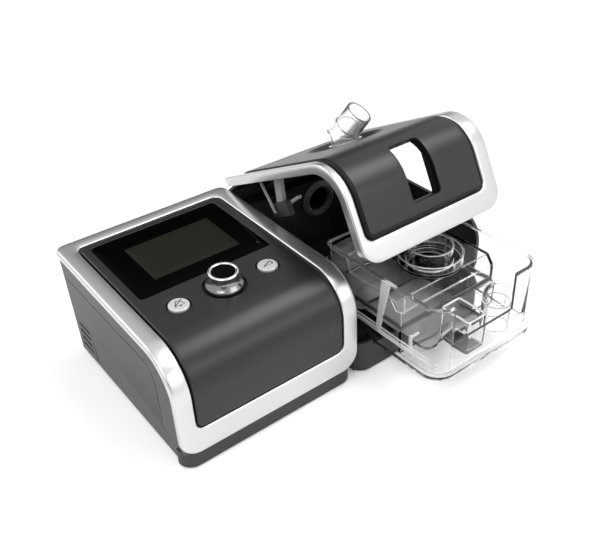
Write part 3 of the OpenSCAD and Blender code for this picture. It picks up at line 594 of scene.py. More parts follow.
@dataclass(frozen=True)
class Look:
    """Values of one finish.

    Attributes:
        name: name of the material.
        slot: material slot of the record for new pieces; empty where only CAD nodes take the finish. Not
            used.
        colour: base colour, linear.
        roughness: mean roughness.
        spread: how far the roughness wanders over the surface.
        metallic: 1 for metal, 0 for the rest.
        grain: size of the moulded grain in millimetres.
        relief: depth of the grain in millimetres.
        tint: how far the colour wanders over the surface.
        see_through: transmission weight.
        ior: index of refraction.
        specular: specular level.
    """

    name: str
    slot: str
    colour: Triple
    roughness: float = 0.5
    spread: float = 0.06
    metallic: float = 0.0
    grain: float = 0.35
    relief: float = 0.01
    tint: float = 0.05
    see_through: float = 0.0
    ior: float = 1.5
    specular: float = 0.5


CHARCOAL = Look("charcoal_satin", "charcoal", (0.01, 0.0105, 0.0128), 0.34, 0.03, grain=0.3, relief=0.008,
                specular=0.42)
# Darker copy of the charcoal for the panels' lips and for the walls of recesses and the window, where shade
# falls: painted shade.
CHARCOAL_PAINTED_SHADE = Look("charcoal_painted_shade", "charcoal", (0.004, 0.004, 0.0045), 0.45, 0.05, relief=0.0, specular=0.2)
CAP_BLACK = Look("cap_black", "black_glass", (0.002, 0.002, 0.0022), 0.3, 0.03, relief=0.0, specular=0.02)
SIDE_GREY = Look("side_grey_moulded", "shell_grey", (0.05, 0.052, 0.057), grain=0.45, relief=0.02)
BASE_BLACK = Look("base_black_moulded", "black_base", (0.018, 0.018, 0.019), 0.5, 0.08, grain=0.5,
                  relief=0.02)
BAY_BLACK = Look("bay_black_matt", "black_base", (0.004, 0.004, 0.0045), 0.5, 0.08, grain=0.5, relief=0.02,
                 specular=0.25)
SILVER = Look("silver_satin", "silver", (0.6, 0.605, 0.615), 0.29, 0.02, metallic=0.92, grain=0.12,
              relief=0.001, tint=0.02)
CHROME = Look("bright_ring", "silver", (0.82, 0.82, 0.83), 0.1, 0.03, metallic=1.0, grain=0.2, relief=0.001,
              tint=0.01)
KNOB_METAL = Look("knob_satin_metal", "silver", (0.27, 0.27, 0.28), 0.17, 0.03, metallic=0.95, grain=0.15,
                  relief=0.002, tint=0.03)
KEY_SILVER = Look("key_satin", "silver", (0.58, 0.58, 0.59), 0.34, 0.05, metallic=0.3, grain=0.2,
                  relief=0.003, tint=0.03)
MARK_GREY = Look("mark_grey", "black_glass", (0.035, 0.035, 0.037), 0.45, 0.05, relief=0.0)
GLASS_BLACK = Look("display_black", "black_glass", (0.001, 0.001, 0.001), 0.04, 0.01, relief=0.0, tint=0.02,
                   specular=0.012)
DISPLAY = Look("display_area", "black_glass", (0.0145, 0.0152, 0.0115), 0.08, 0.01, relief=0.0,
               specular=0.03)
CLEAR = Look("clear_plastic", "clear", (0.995, 1.0, 1.0), 0.02, 0.01, relief=0.0, tint=0.0, see_through=1.0,
             ior=1.22)
HAZY = Look("clear_elbow_plastic", "clear", (0.94, 0.95, 0.955), 0.05, 0.01, relief=0.0, tint=0.0,
            see_through=0.96, ior=1.4)
# Whitened, part-clear copy of the clear plastic for the eased edges and ribs of clear parts: painted
# highlight where they catch the light.
CLEAR_PAINTED_HIGHLIGHT = Look("clear_plastic_painted_highlight", "clear", (0.95, 0.96, 0.965), 0.22, 0.05, relief=0.0, tint=0.02,
               see_through=0.4, ior=1.35)
# Paler, barely refracting copy for the narrow flat faces of clear parts, which keeps them light: painted
# highlight.
CLEAR_NARROW_HIGHLIGHT = Look("clear_plastic_narrow_painted_highlight", "clear", (0.85, 0.86, 0.865), 0.1, 0.02, relief=0.0, tint=0.0,
             see_through=0.9, ior=1.06)
STAY_GREY = Look("stay_light_grey", "light_grey", (0.3, 0.31, 0.315), 0.45, 0.05)
SEAL = Look("grey_seal", "grey_rubber", (0.06, 0.062, 0.063), 0.5, 0.08, grain=0.5)

# Finishes of CAD nodes that stay as they are
BOARD = Look("board_green", "", (0.02, 0.12, 0.05), 0.45, 0.1, grain=1.0)
STEEL = Look("turned_steel", "", (0.55, 0.55, 0.57), 0.25, metallic=1.0, grain=0.2, relief=0.003)
ALUMINIUM = Look("heater_aluminium", "", (0.62, 0.63, 0.64), 0.34, 0.08, metallic=1.0, grain=0.3,
                 relief=0.005)
RUBBER = Look("black_rubber", "", (0.02, 0.02, 0.021), 0.7, 0.08, grain=0.6, relief=0.03)
WHITE = Look("white_moulded", "", (0.6, 0.6, 0.57), 0.45)
FILTER = Look("filter_felt", "", (0.6, 0.62, 0.65), 0.85, 0.05, grain=0.9, relief=0.15, tint=0.2)


@dataclass(frozen=True)
class Wiring:
    """Adds nodes to one node tree, each with its settings, values and links in one call."""

    tree: bpy.types.NodeTree

    def add(self, kind: str, inputs: dict[str | int, Value], **settings: object) -> bpy.types.Node:
        """Adds one node.

        Args:
            kind: type of the node, without ShaderNode where it starts so.
            inputs: plain value or socket to link, for each input by name or number.
            settings: attributes of the node, set before its inputs.

        Returns:
            The node.
        """
        node = self.tree.nodes.new(kind if kind.startswith("NodeGroup") else "ShaderNode" + kind)
        for key, setting in settings.items():
            setattr(node, key, setting)
        for key, value in inputs.items():
            if isinstance(value, bpy.types.NodeSocket):
                self.tree.links.new(value, node.inputs[key])
            else:
                node.inputs[key].default_value = value
        return node

    def calc(self, operation: str, *values: Value, clamp: bool = False) -> bpy.types.NodeSocket:
        """Result of one math node on plain values or sockets."""
        return self.add("Math", dict(enumerate(values)), operation=operation, use_clamp=clamp).outputs[0]

    def ramp(self, value: Value, source: Pair, target: Pair,
             kind: str = "SMOOTHSTEP") -> bpy.types.NodeSocket:
        """Carries a value from one range to another, and holds it at the ends.

        Args:
            value: the value.
            source: range that it comes from.
            target: range that it goes to.
            kind: interpolation of the node.

        Returns:
            The result's socket.
        """
        ends = dict(zip(("From Min", "From Max", "To Min", "To Max"), (*source, *target)))
        return self.add("MapRange", {"Value": value, **ends}, interpolation_type=kind).outputs["Result"]


def surface_wander() -> bpy.types.NodeTree:
    """Node group for the wander of tone, roughness and relief on a moulded or plated surface.

    Tone is 1 + (broad noise - 0.5) Tint, Roughness is its input + (smeared noise - 0.5) Spread, and
    Height is a fine noise at Scale.

    Returns:
        The group, with inputs Scale, Roughness, Spread and Tint and outputs Tone, Roughness and Height.
    """
    tree = bpy.data.node_groups.new("surface_wander", "ShaderNodeTree")
    sockets = {"INPUT": ("Scale", "Roughness", "Spread", "Tint"), "OUTPUT": ("Tone", "Roughness", "Height")}
    for way, labels in sockets.items():
        for label in labels:
            tree.interface.new_socket(label, in_out=way, socket_type="NodeSocketFloat")
    wires = Wiring(tree)
    given = wires.add("NodeGroupInput", {}).outputs
    place = wires.add("TexCoord", {}).outputs["Object"]

    def noise(scale: Value, detail: float, distortion: float = 0.0) -> bpy.types.NodeSocket:
        """Noise over the object's own coordinates."""
        inputs = {"Vector": place, "Scale": scale, "Detail": detail, "Distortion": distortion}
        return wires.add("TexNoise", inputs).outputs["Fac"]

    tone = wires.calc("SUBTRACT", noise(28.0, 5.0), 0.5)
    smear = wires.calc("SUBTRACT", noise(70.0, 4.0, 1.2), 0.5)
    wires.add("NodeGroupOutput", {
        "Tone": wires.calc("MULTIPLY_ADD", tone, given["Tint"], 1.0),
        "Roughness": wires.calc("MULTIPLY_ADD", smear, given["Spread"], given["Roughness"]),
        "Height": noise(given["Scale"], 2.0),
    })
    return tree


@dataclass(frozen=True)
class Finishes:
    """Materials of the object, each made once, around one shared node group."""

    group: bpy.types.NodeTree
    made: dict[str, bpy.types.Material] = field(default_factory=dict)

    def get(self, look: Look) -> bpy.types.Material:
        """Material of a look, with one Principled shader.

        Args:
            look: the finish.

        Returns:
            The material.
        """
        if look.name in self.made:
            return self.made[look.name]
        mat = bpy.data.materials.new(look.name)
        mat.use_nodes = True
        mat.node_tree.nodes.clear()
        wires = Wiring(mat.node_tree)
        wander = wires.add("Group", {
            "Scale": MM / look.grain,
            "Roughness": look.roughness,
            "Spread": look.spread,
            "Tint": look.tint * 2,
        }, node_tree=self.group).outputs
        grey = wires.add("CombineColor", dict.fromkeys(("Red", "Green", "Blue"), wander["Tone"])).outputs[0]
        tone = wires.add("Mix", {"Factor": 1.0, "A": (*look.colour, 1.0), "B": grey}, data_type="RGBA",
                         blend_type="MULTIPLY")
        surface = {
            "Base Color": tone.outputs["Result"], "Roughness": wander["Roughness"], "Metallic": look.metallic,
            "Transmission Weight": look.see_through, "IOR": look.ior, "Specular IOR Level": look.specular,
        }
        if look.relief > 0:
            bump = {"Strength": 1.0, "Distance": look.relief / MM, "Height": wander["Height"]}
            surface["Normal"] = wires.add("Bump", bump).outputs["Normal"]
        shader = wires.add("BsdfPrincipled", surface)
        wires.add("OutputMaterial", {"Surface": shader.outputs["BSDF"]})
        self.made[look.name] = mat
        return mat


# Blender objects


def narrow_faces(me: bpy.types.Mesh, width: float) -> Array:
    """Marks the narrow faces that lie square to an axis.

    The width of a face is taken as twice its area over the length of its outline.

    Args:
        me: the mesh.
        width: limit of the width in metres.

    Returns:
        True for each such face.
    """
    k, n = len(me.polygons), len(me.loops)
    area, start, count = np.zeros(k), np.zeros(k, np.int32), np.zeros(k, np.int32)
    normal, co, corner = np.zeros(k * 3), np.zeros(len(me.vertices) * 3), np.zeros(n, np.int32)
    me.polygons.foreach_get("area", area)
    me.polygons.foreach_get("loop_start", start)
    me.polygons.foreach_get("loop_total", count)
    me.polygons.foreach_get("normal", normal)
    me.vertices.foreach_get("co", co)
    me.loops.foreach_get("vertex_index", corner)
    after = np.arange(1, n + 1)
    after[start + count - 1] = start
    at = co.reshape(-1, 3)[corner]
    outline = np.add.reduceat(np.linalg.norm(at[after] - at, axis=1), start)
    return (2 * area / outline < width) & (np.abs(normal.reshape(-1, 3)).max(1) > 0.9995)


@dataclass
class Workshop:
    """Makes, dresses and seats the pieces, and keeps count of them.

    Attributes:
        finishes: materials of the object.
        narrow: width in metres below which a flat face of a clear piece takes the paler copy that paints a
            highlight.
        straight: angle in degrees up to which the faces of a copied node are one.
        count: number of pieces made.
    """

    finishes: Finishes
    narrow: float = 2.8 / MM
    straight: float = 0.6
    count: int = 0

    @staticmethod
    def linked(name: str, me: bpy.types.Mesh) -> bpy.types.Object:
        """Object of a mesh, at the origin and linked to the scene.

        Args:
            name: name of the object.
            me: the mesh.

        Returns:
            The object.
        """
        obj = bpy.data.objects.new(name, me)
        bpy.context.scene.collection.objects.link(obj)
        return obj

    @staticmethod
    def ease(obj: bpy.types.Object, width: float) -> bpy.types.Modifier:
        """Eases the sharp edges of a piece.

        Args:
            obj: the piece.
            width: width of the eased edge in millimetres.

        Returns:
            The Bevel modifier.
        """
        bevel = obj.modifiers.new("ease", "BEVEL")
        bevel.width = width / MM
        bevel.segments = 2
        bevel.limit_method = "ANGLE"
        bevel.angle_limit = math.radians(EASE_ABOVE)
        bevel.harden_normals = False
        return bevel

    def dress(self, obj: bpy.types.Object, body: str, look: Look, replaces: str, smooth: float) -> None:
        """Gives a piece its material, shading and body, and says what it stands for.

        Args:
            obj: the piece.
            body: CAD body that it rides on.
            look: its finish.
            replaces: CAD node that it stands for, or none.
            smooth: angle in degrees below which an edge is shaded smooth.
        """
        me = obj.data
        me.materials.append(self.finishes.get(look))
        me.polygons.foreach_set("use_smooth", np.ones(len(me.polygons), bool))
        me.set_sharp_from_angle(angle=math.radians(smooth))
        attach(obj, body)
        if replaces:
            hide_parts(replaces)
        self.count += 1
        log.info("%s rides on %s with %s", obj.name, body, look.name)

    def piece(self, name: str, skin: Skin, body: str, look: Look, replaces: str = "", smooth: float = SMOOTH,
              soft: float = 0.0) -> None:
        """Makes one mesh object in the part's frame and hands it to its body.

        Args:
            name: name of the piece.
            skin: its surface, in the modules' axes; its faces of painted shade take a darker copy of the
                charcoal.
            body: CAD body that the piece rides on.
            look: finish of the piece.
            replaces: CAD node that the piece stands for, if any.
            smooth: angle in degrees below which an edge is shaded smooth.
            soft: width of an eased edge in millimetres.
        """
        me = bpy.data.meshes.new(name)
        me.from_pydata(seated(skin.points, SEATS.get(body, Seat.FIXED)).tolist(), [], skin.faces)
        finish = np.zeros(len(skin.faces), np.int32)
        finish[list(skin.painted_shade)] = 1
        me.polygons.foreach_set("material_index", finish)
        obj = self.linked(name, me)
        bm = bmesh.new()
        bm.from_mesh(me)
        bmesh.ops.remove_doubles(bm, verts=bm.verts, dist=WELD)
        bmesh.ops.recalc_face_normals(bm, faces=bm.faces)
        bm.to_mesh(me)
        bm.free()
        self.dress(obj, body, look, replaces, smooth)
        # Lips and recess walls in shade take a darker copy of the charcoal: painted shade.
        if skin.painted_shade:
            me.materials.append(self.finishes.get(CHARCOAL_PAINTED_SHADE))
        if soft > 0:
            self.ease(obj, soft)

    def eased(self, node: str, body: str, look: Look, width: float, rim: Optional[Look] = None) -> None:
        """Copy of a CAD node with its doubles merged and its sharp edges eased, which stands for the node.

        Args:
            node: CAD node.
            body: body of the node.
            look: finish.
            width: width of the eased edge in millimetres.
            rim: finish of the eased edges, where it isn't the same, a whitened copy that paints a highlight
                on them; narrow flat faces then take a paler copy, also painted highlight.
        """
        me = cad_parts[node].data.copy()
        me.materials.clear()
        obj = self.linked(node + "_eased", me)
        bm = bmesh.new()
        bm.from_mesh(me)
        bmesh.ops.remove_doubles(bm, verts=bm.verts, dist=WELD_COPY)
        bmesh.ops.dissolve_limit(bm, angle_limit=math.radians(self.straight), verts=bm.verts, edges=bm.edges)
        bm.to_mesh(me)
        bm.free()
        bevel = self.ease(obj, width)
        self.dress(obj, body, look, node, SMOOTH_EASED)
        # Eased edges take the whitened copy and narrow flat faces the paler one: painted highlight.
        if rim is not None:
            me.materials.append(self.finishes.get(rim))
            me.materials.append(self.finishes.get(CLEAR_NARROW_HIGHLIGHT))
            bevel.material = 1
            finish = np.where(narrow_faces(me, self.narrow), 2, 0).astype(np.int32)
            me.polygons.foreach_set("material_index", finish)

    def coat(self, look: Look, *nodes: str) -> None:
        """Gives CAD nodes that stay as they are their finish.

        Args:
            look: the finish.
            nodes: names of the nodes.
        """
        for node in nodes:
            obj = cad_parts[node]
            if not obj.data.materials:
                obj.data.materials.append(None)
            for slot in obj.material_slots:
                slot.material = self.finishes.get(look)


# Sub-assemblies


@dataclass(frozen=True)
class Knob:
    """Knob: a body with a hollow waist, a bright ring and a dished black cap.

    Attributes:
        y: distance of its axis from the front face.
        radius: radius of the skirt at the foot.
        bore: radius of the shaft's bore.
        foot: height of the underside.
        hem: inset and height over the foot of each point of the skirt.
        top: height of the body's top.
        waist: radius and height pairs of the two ends of the waist.
        hollow: depth of the waist's hollow.
        ring: radius of the ring's middle line, and half its width and height.
        ring_z: height of the ring's middle over the body's top.
        cap: radius of the cap, height of its middle over the top, and its dish.
    """

    y: float = 54.0
    radius: float = 13.8
    bore: float = 3.1
    foot: float = -0.7
    hem: tuple[Pair, ...] = ((0.5, -0.1), (0.12, 0.02), (0.0, 0.3), (0.0, 1.9), (0.25, 2.5))
    top: float = 10.4
    waist: tuple[Pair, Pair] = ((13.3, 2.2), (10.8, 9.4))
    hollow: float = 0.95
    ring: Triple = (9.75, 1.2, 0.86)
    ring_z: float = 0.72
    cap: Triple = (8.7, 0.3, 0.55)

    def body(self) -> Skin:
        """Skirt, waist and top; over t from 0 to 1 the waist is a cone less hollow sin(pi t) to the 0.9.

        Returns:
            The skin about the knob's own axis.
        """
        (r0, z0), (r1, z1) = self.waist
        t = np.linspace(0, 1, 16)
        waist = zip(r0 + (r1 - r0) * t - self.hollow * np.sin(math.pi * t) ** 0.9, z0 + (z1 - z0) * t)
        skirt = [(self.radius - inset, self.foot + rise) for inset, rise in self.hem]
        low, high = (self.bore, self.foot), (self.bore, self.top)
        return turned([low, *skirt, *waist, (r1 + 0.1, self.top), high, low], 96)

    def bright_ring(self) -> Skin:
        """Oval bead round the cap: r = middle + a cos t and z = middle + b sin t.

        Returns:
            The skin about the knob's own axis.
        """
        middle, a, b = self.ring
        t = np.radians(np.linspace(-60, 240, 24))
        bead = list(zip(middle + a * np.cos(t), self.top + self.ring_z + b * np.sin(t)))
        return turned(bead + bead[:1], 96)

    def dished_cap(self) -> Skin:
        """Cap whose face is lowest in the middle and rises by dish (r / radius) squared.

        Returns:
            The skin about the knob's own axis.
        """
        radius, middle, dish = self.cap
        r = np.linspace(radius, 0, 12)
        face = zip(r, self.top + middle + dish * (r / radius) ** 2)
        return turned([(0, self.top - 0.05), (radius, self.top - 0.05), *face], 72)

    def build(self, shop: Workshop) -> None:
        """Makes the knob's three pieces.

        Args:
            shop: the workshop.
        """
        shop.piece("knob_body", self.body().on_top(KNOB_X, self.y), "knob", KNOB_METAL, "knob")
        shop.piece("knob_bright_ring", self.bright_ring().on_top(KNOB_X, self.y), "knob", CHROME, "knob_ring")
        shop.piece("knob_black_cap", self.dished_cap().on_top(KNOB_X, self.y), "knob", CAP_BLACK, "knob_cap")


@dataclass(frozen=True)
class Buttons:
    """Two round buttons with a soft edge, each with its generic mark: a struck bell and a ramp.

    Attributes:
        y: distance of their axes from the front face.
        pitch: distance of each axis from the knob's.
        radius: radius of a button.
        stem: radius and foot of the stem.
        foot: height of the button's underside.
        rim: height at which the rounded edge starts, its width and its height.
        crown: rise of the face towards its middle.
        mark_z: height of the marks' face.
        mark_t: thickness of the marks.
    """

    y: float = 54.0
    pitch: float = 36.8
    radius: float = 7.5
    stem: Pair = (2.2, -8.9)
    foot: float = -2.8
    rim: Triple = (-0.2, 1.0, 0.9)
    crown: float = 0.12
    mark_z: float = 0.87
    mark_t: float = 0.25

    def button(self) -> Skin:
        """Stem, side, quarter-oval rim and a face that rises by crown (1 - (r / inner radius) squared).

        Returns:
            The skin about the button's own axis.
        """
        (stem_r, stem_foot), (low, wide, high) = self.stem, self.rim
        inner = self.radius - wide
        t = np.linspace(0, math.pi / 2, 7)
        r = np.linspace(inner - 0.3, 0, 6)
        rim = zip(inner + wide * np.cos(t), low + high * np.sin(t))
        face = zip(r, low + high + self.crown * (1 - (r / inner) ** 2))
        side = [(0, stem_foot), (stem_r, stem_foot), (stem_r, self.foot), (self.radius, self.foot)]
        return turned([*side, *rim, *face], 64)

    @staticmethod
    def stroke(start: Pair, end: Pair, width: float) -> Loop:
        """Straight stroke of a mark as a thin rounded outline.

        Args:
            start: start of its middle line.
            end: end of its middle line.
            width: width.

        Returns:
            The outline.
        """
        p, q = np.array(start), np.array(end)
        v = np.array([p[1] - q[1], q[0] - p[0]]) / np.linalg.norm(q - p) * width / 2
        return Loop(tuple(map(tuple, (p - v, q - v, q + v, p + v))), (width * 0.45,) * 4, arc=3)

    def ramp_marks(self) -> list[Loop]:
        """Long right-angled triangle: a bold slope and end, and a fine foot."""
        a, b, c = (-3.9, -1.1), (3.9, -1.1), (3.6, 2.7)
        return [self.stroke(a, b, 0.4), self.stroke(b, c, 0.8), self.stroke(c, a, 0.9)]

    def mute_marks(self) -> list[Loop]:
        """Bell drawn in outline with its clapper, and a bold stroke through it.

        Returns:
            Outlines of the strokes.
        """
        foot, left, top, right, end = (-3.5, -1.9), (-1.9, 1.6), (0.5, 4.1), (2.5, 1.6), (3.9, -1.6)
        clapper = rounded_box((-0.3, 1.1), (-3.3, -2.0), (0.5,) * 4, arc=3)
        return [
            self.stroke(foot, left, 0.7), self.stroke(left, top, 0.6), self.stroke(top, right, 0.35),
            self.stroke(right, end, 0.5), self.stroke(foot, end, 0.35), clapper,
            self.stroke((-3.0, -1.0), (4.2, 4.0), 0.75),
        ]

    def build(self, shop: Workshop) -> None:
        """Makes both buttons and their marks.

        Args:
            shop: the workshop.
        """
        for side, body, marks in ((-1, "mute", self.mute_marks()), (1, "ramp", self.ramp_marks())):
            x, name = KNOB_X + side * self.pitch, body + "_button"
            shop.piece(name + "_cap", self.button().on_top(x, self.y), body, KEY_SILVER, name)
            for i, loop in enumerate(marks, 1):
                plate = Plate(loop, [(0.0, -self.mark_t), (0.0, 0.0)], Flat(self.mark_z), grid=20.0)
                shop.piece(f"{name}_mark_{i}", plate.build().on_top(x, self.y), body, MARK_GREY)


@dataclass(frozen=True)
class MainUnit:
    """Main unit: bright frame, dark panel, display, knob, buttons and its shells.

    Attributes:
        line: side line of the unit.
        knob: the knob.
        buttons: the two buttons.
        side: width of the bright frame at the sides.
        rear: width of the bright frame at the rear.
        band: foot and top of its front band.
        frame_t: its thickness.
        frame_corners: radii of its outer corners.
        hole_corner: radius of its inner corners.
        frame_round: rounding of its outer and its inner edge.
        crown: reach and rise of its crown.
        groove: gap between it and the dark panel.
        panel_t: thickness of the dark panel.
        panel_corner: radius of its corners.
        panel_round: rounding of its edge.
        panel_drop: how far its face lies below the frame's.
        knob_well: radius of the knob's recess, radius of the hole in it, and its depth.
        button_well: the same of a button's recess.
        well_round: rounding of the recesses' rims.
        glass_w: width of the display glass.
        glass_y: front and rear edge of the glass.
        glass_corner: radius of its corners.
        glass_t: its thickness.
        glass_gap: gap around it.
        area_x: left and right side of the grey display area.
        area_y: its front and rear edge.
        sensor: place of the light sensor's dot.
        sensor_r: radius of the dot.
    """

    line: SideLine = SideLine()
    knob: Knob = Knob()
    buttons: Buttons = Buttons()
    side: float = 13.0
    rear: float = 12.0
    band: Pair = (15.8, 35.9)
    frame_t: float = 4.0
    frame_corners: Quad = (15.0, 15.0, 8.0, 8.0)
    hole_corner: float = 7.0
    frame_round: Pair = (2.0, 0.9)
    crown: Pair = (10.0, 0.35)
    groove: float = 1.2
    panel_t: float = 3.8
    panel_corner: float = 6.0
    panel_round: float = 1.6
    panel_drop: float = 0.2
    knob_well: Triple = (15.6, 6.0, 1.6)
    button_well: Triple = (8.7, 7.8, 1.0)
    well_round: float = 0.45
    glass_w: float = 108.6
    glass_y: Pair = (75.0, 156.0)
    glass_corner: float = 3.0
    glass_t: float = 1.9
    glass_gap: float = 0.2
    area_x: Pair = (-111.0, -39.0)
    area_y: Pair = (90.0, 138.0)
    sensor: Pair = (-27.5, 83.5)
    sensor_r: float = 0.7

    def frame_plate(self) -> Plate:
        """Bright frame: an outer outline and one large hole, softly crowned.

        Returns:
            The plate.
        """
        length, inner_length = self.line.s_of_y(DEPTH), self.line.s_of_y(DEPTH - self.rear)
        outer = rounded_box((-MAIN_W, 0.0), (self.band[0], length), self.frame_corners, arc=12)
        across = (-MAIN_W + self.side, -self.side)
        hole = rounded_box(across, (self.band[1], inner_length), (self.hole_corner,) * 4)
        outside, inside = (fillet(self.frame_t, r, steps) for r, steps in zip(self.frame_round, (6, 3)))
        return Plate(outer, outside, self.line, [(hole, inside)], grid=2.6,
                     height=strip_crown(outer, hole, *self.crown))

    def well(self, x: float, well: Triple, points: int) -> tuple[Disc, list[Pair]]:
        """Round recess of the panel with a hole in its floor.

        Args:
            x: place of its axis.
            well: radius of the recess, radius of the hole and depth of the recess.
            points: points of a ring.

        Returns:
            Its outline and its edge.
        """
        radius, hole, floor = well
        edge = [(hole - radius, -self.panel_t), (hole - radius, -floor), *fillet(floor, self.well_round)]
        return Disc(x, self.line.s_of_y(self.knob.y), radius, points), edge

    def glass_outline(self, gap: float, step: float) -> Loop:
        """Outline of the display glass, moved outwards.

        Args:
            gap: distance outwards.
            step: longest piece of its straight runs.

        Returns:
            The outline.
        """
        across = (KNOB_X - self.glass_w / 2 - gap, KNOB_X + self.glass_w / 2 + gap)
        along = (self.line.s_of_y(self.glass_y[0] - gap), self.line.s_of_y(self.glass_y[1] + gap))
        return rounded_box(across, along, (self.glass_corner + gap,) * 4, step, 6)

    def panel_plate(self) -> Plate:
        """Dark panel with the recesses of the knob and the buttons and the opening of the glass.

        Returns:
            The plate.
        """
        rim = self.side + self.groove
        along = (self.band[1] + self.groove, self.line.s_of_y(DEPTH - self.rear - self.groove))
        outer = rounded_box((-MAIN_W + rim, -rim), along, (self.panel_corner,) * 4)
        wells = [self.well(KNOB_X, self.knob_well, 72)]
        wells += [self.well(KNOB_X + side * self.buttons.pitch, self.button_well, 56) for side in (-1, 1)]
        opening = (self.glass_outline(self.glass_gap, 4.0), [(0.0, -self.panel_t), (0.0, -0.25), (0.25, 0.0)])
        # The lower steps of the lip and the walls of the three recesses take painted shade.
        return Plate(outer, fillet(self.panel_t, self.panel_round, 5), self.line, [*wells, opening],
                     lift=-self.panel_drop, painted_shade_steps=4, painted_shade_holes=(0, 1, 2))

    def build_display(self, shop: Workshop) -> None:
        """Black glass with a polished edge, the grey display area on it and the light sensor's dot.

        Args:
            shop: the workshop.
        """
        edge = fillet(self.glass_t, 0.35)
        glass = Plate(self.glass_outline(0.0, 6.0), edge, self.line, lift=-0.1, grid=12.0)
        shop.piece("display_glass_plate", glass.build(), "machine", GLASS_BLACK, "display_glass")
        along = (self.line.s_of_y(self.area_y[0]), self.line.s_of_y(self.area_y[1]))
        edge = [(0.0, -0.3), (0.0, -0.02), (0.05, 0.0)]
        outline = rounded_box(self.area_x, along, (0.8,) * 4, 8.0, 3)
        area = Plate(outline, edge, self.line, lift=-0.07, grid=12.0)
        shop.piece("display_area", area.build(), "machine", DISPLAY)
        dot = turned([(0, -0.2), (self.sensor_r, -0.2), (self.sensor_r, 0.0), (0, 0.02)], 24)
        shop.piece("light_sensor", dot.on_top(*self.sensor), "machine", MARK_GREY)

    def build(self, shop: Workshop) -> None:
        """Makes every visible piece of the main unit and dresses the rest.

        Args:
            shop: the workshop.
        """
        shop.piece("bright_frame", self.frame_plate().build(), "machine", SILVER, "main_top_frame")
        shop.piece("dark_panel", self.panel_plate().build(), "machine", CHARCOAL, "main_top_panel")
        self.build_display(shop)
        self.knob.build(shop)
        self.buttons.build(shop)
        shop.eased("main_shell", "machine", SIDE_GREY, 0.5)
        shop.eased("main_front_skirt", "machine", BASE_BLACK, 0.6)
        shop.eased("main_bottom", "machine", BASE_BLACK, 0.3)
        shop.eased("filter_cover", "filter_door", SIDE_GREY, 0.25)
        shop.coat(BAY_BLACK, "display_module", "key_switches", "blower_motor", "power_inlet", "card_slot")
        shop.coat(BOARD, "control_board", "main_board")
        shop.coat(STEEL, "encoder_body", "encoder_shaft", "motor_shaft", "main_screws")
        shop.coat(WHITE, "encoder_plunger", "blower_volute", "blower_cover", "impeller")
        shop.coat(RUBBER, "blower_mount", "main_feet")
        shop.coat(FILTER, "inlet_filter")
        shop.coat(SEAL, "air_coupling")


@dataclass(frozen=True)
class Humidifier:
    """Base, bay and heater of the humidifier."""

    def build(self, shop: Workshop) -> None:
        """Dresses the base and everything in the bay.

        Args:
            shop: the workshop.
        """
        shop.eased("hum_base", "machine", BASE_BLACK, 0.6)
        shop.eased("bay_liner", "machine", BAY_BLACK, 0.4)
        shop.eased("air_block", "machine", BAY_BLACK, 0.8)
        shop.eased("inlet_seal", "machine", SEAL, 0.4)
        shop.coat(ALUMINIUM, "heater_plate")
        shop.coat(STEEL, "heater_springs", "hinge_pins", "hum_screws")
        shop.coat(BOARD, "heater_board")
        shop.coat(RUBBER, "hum_feet")


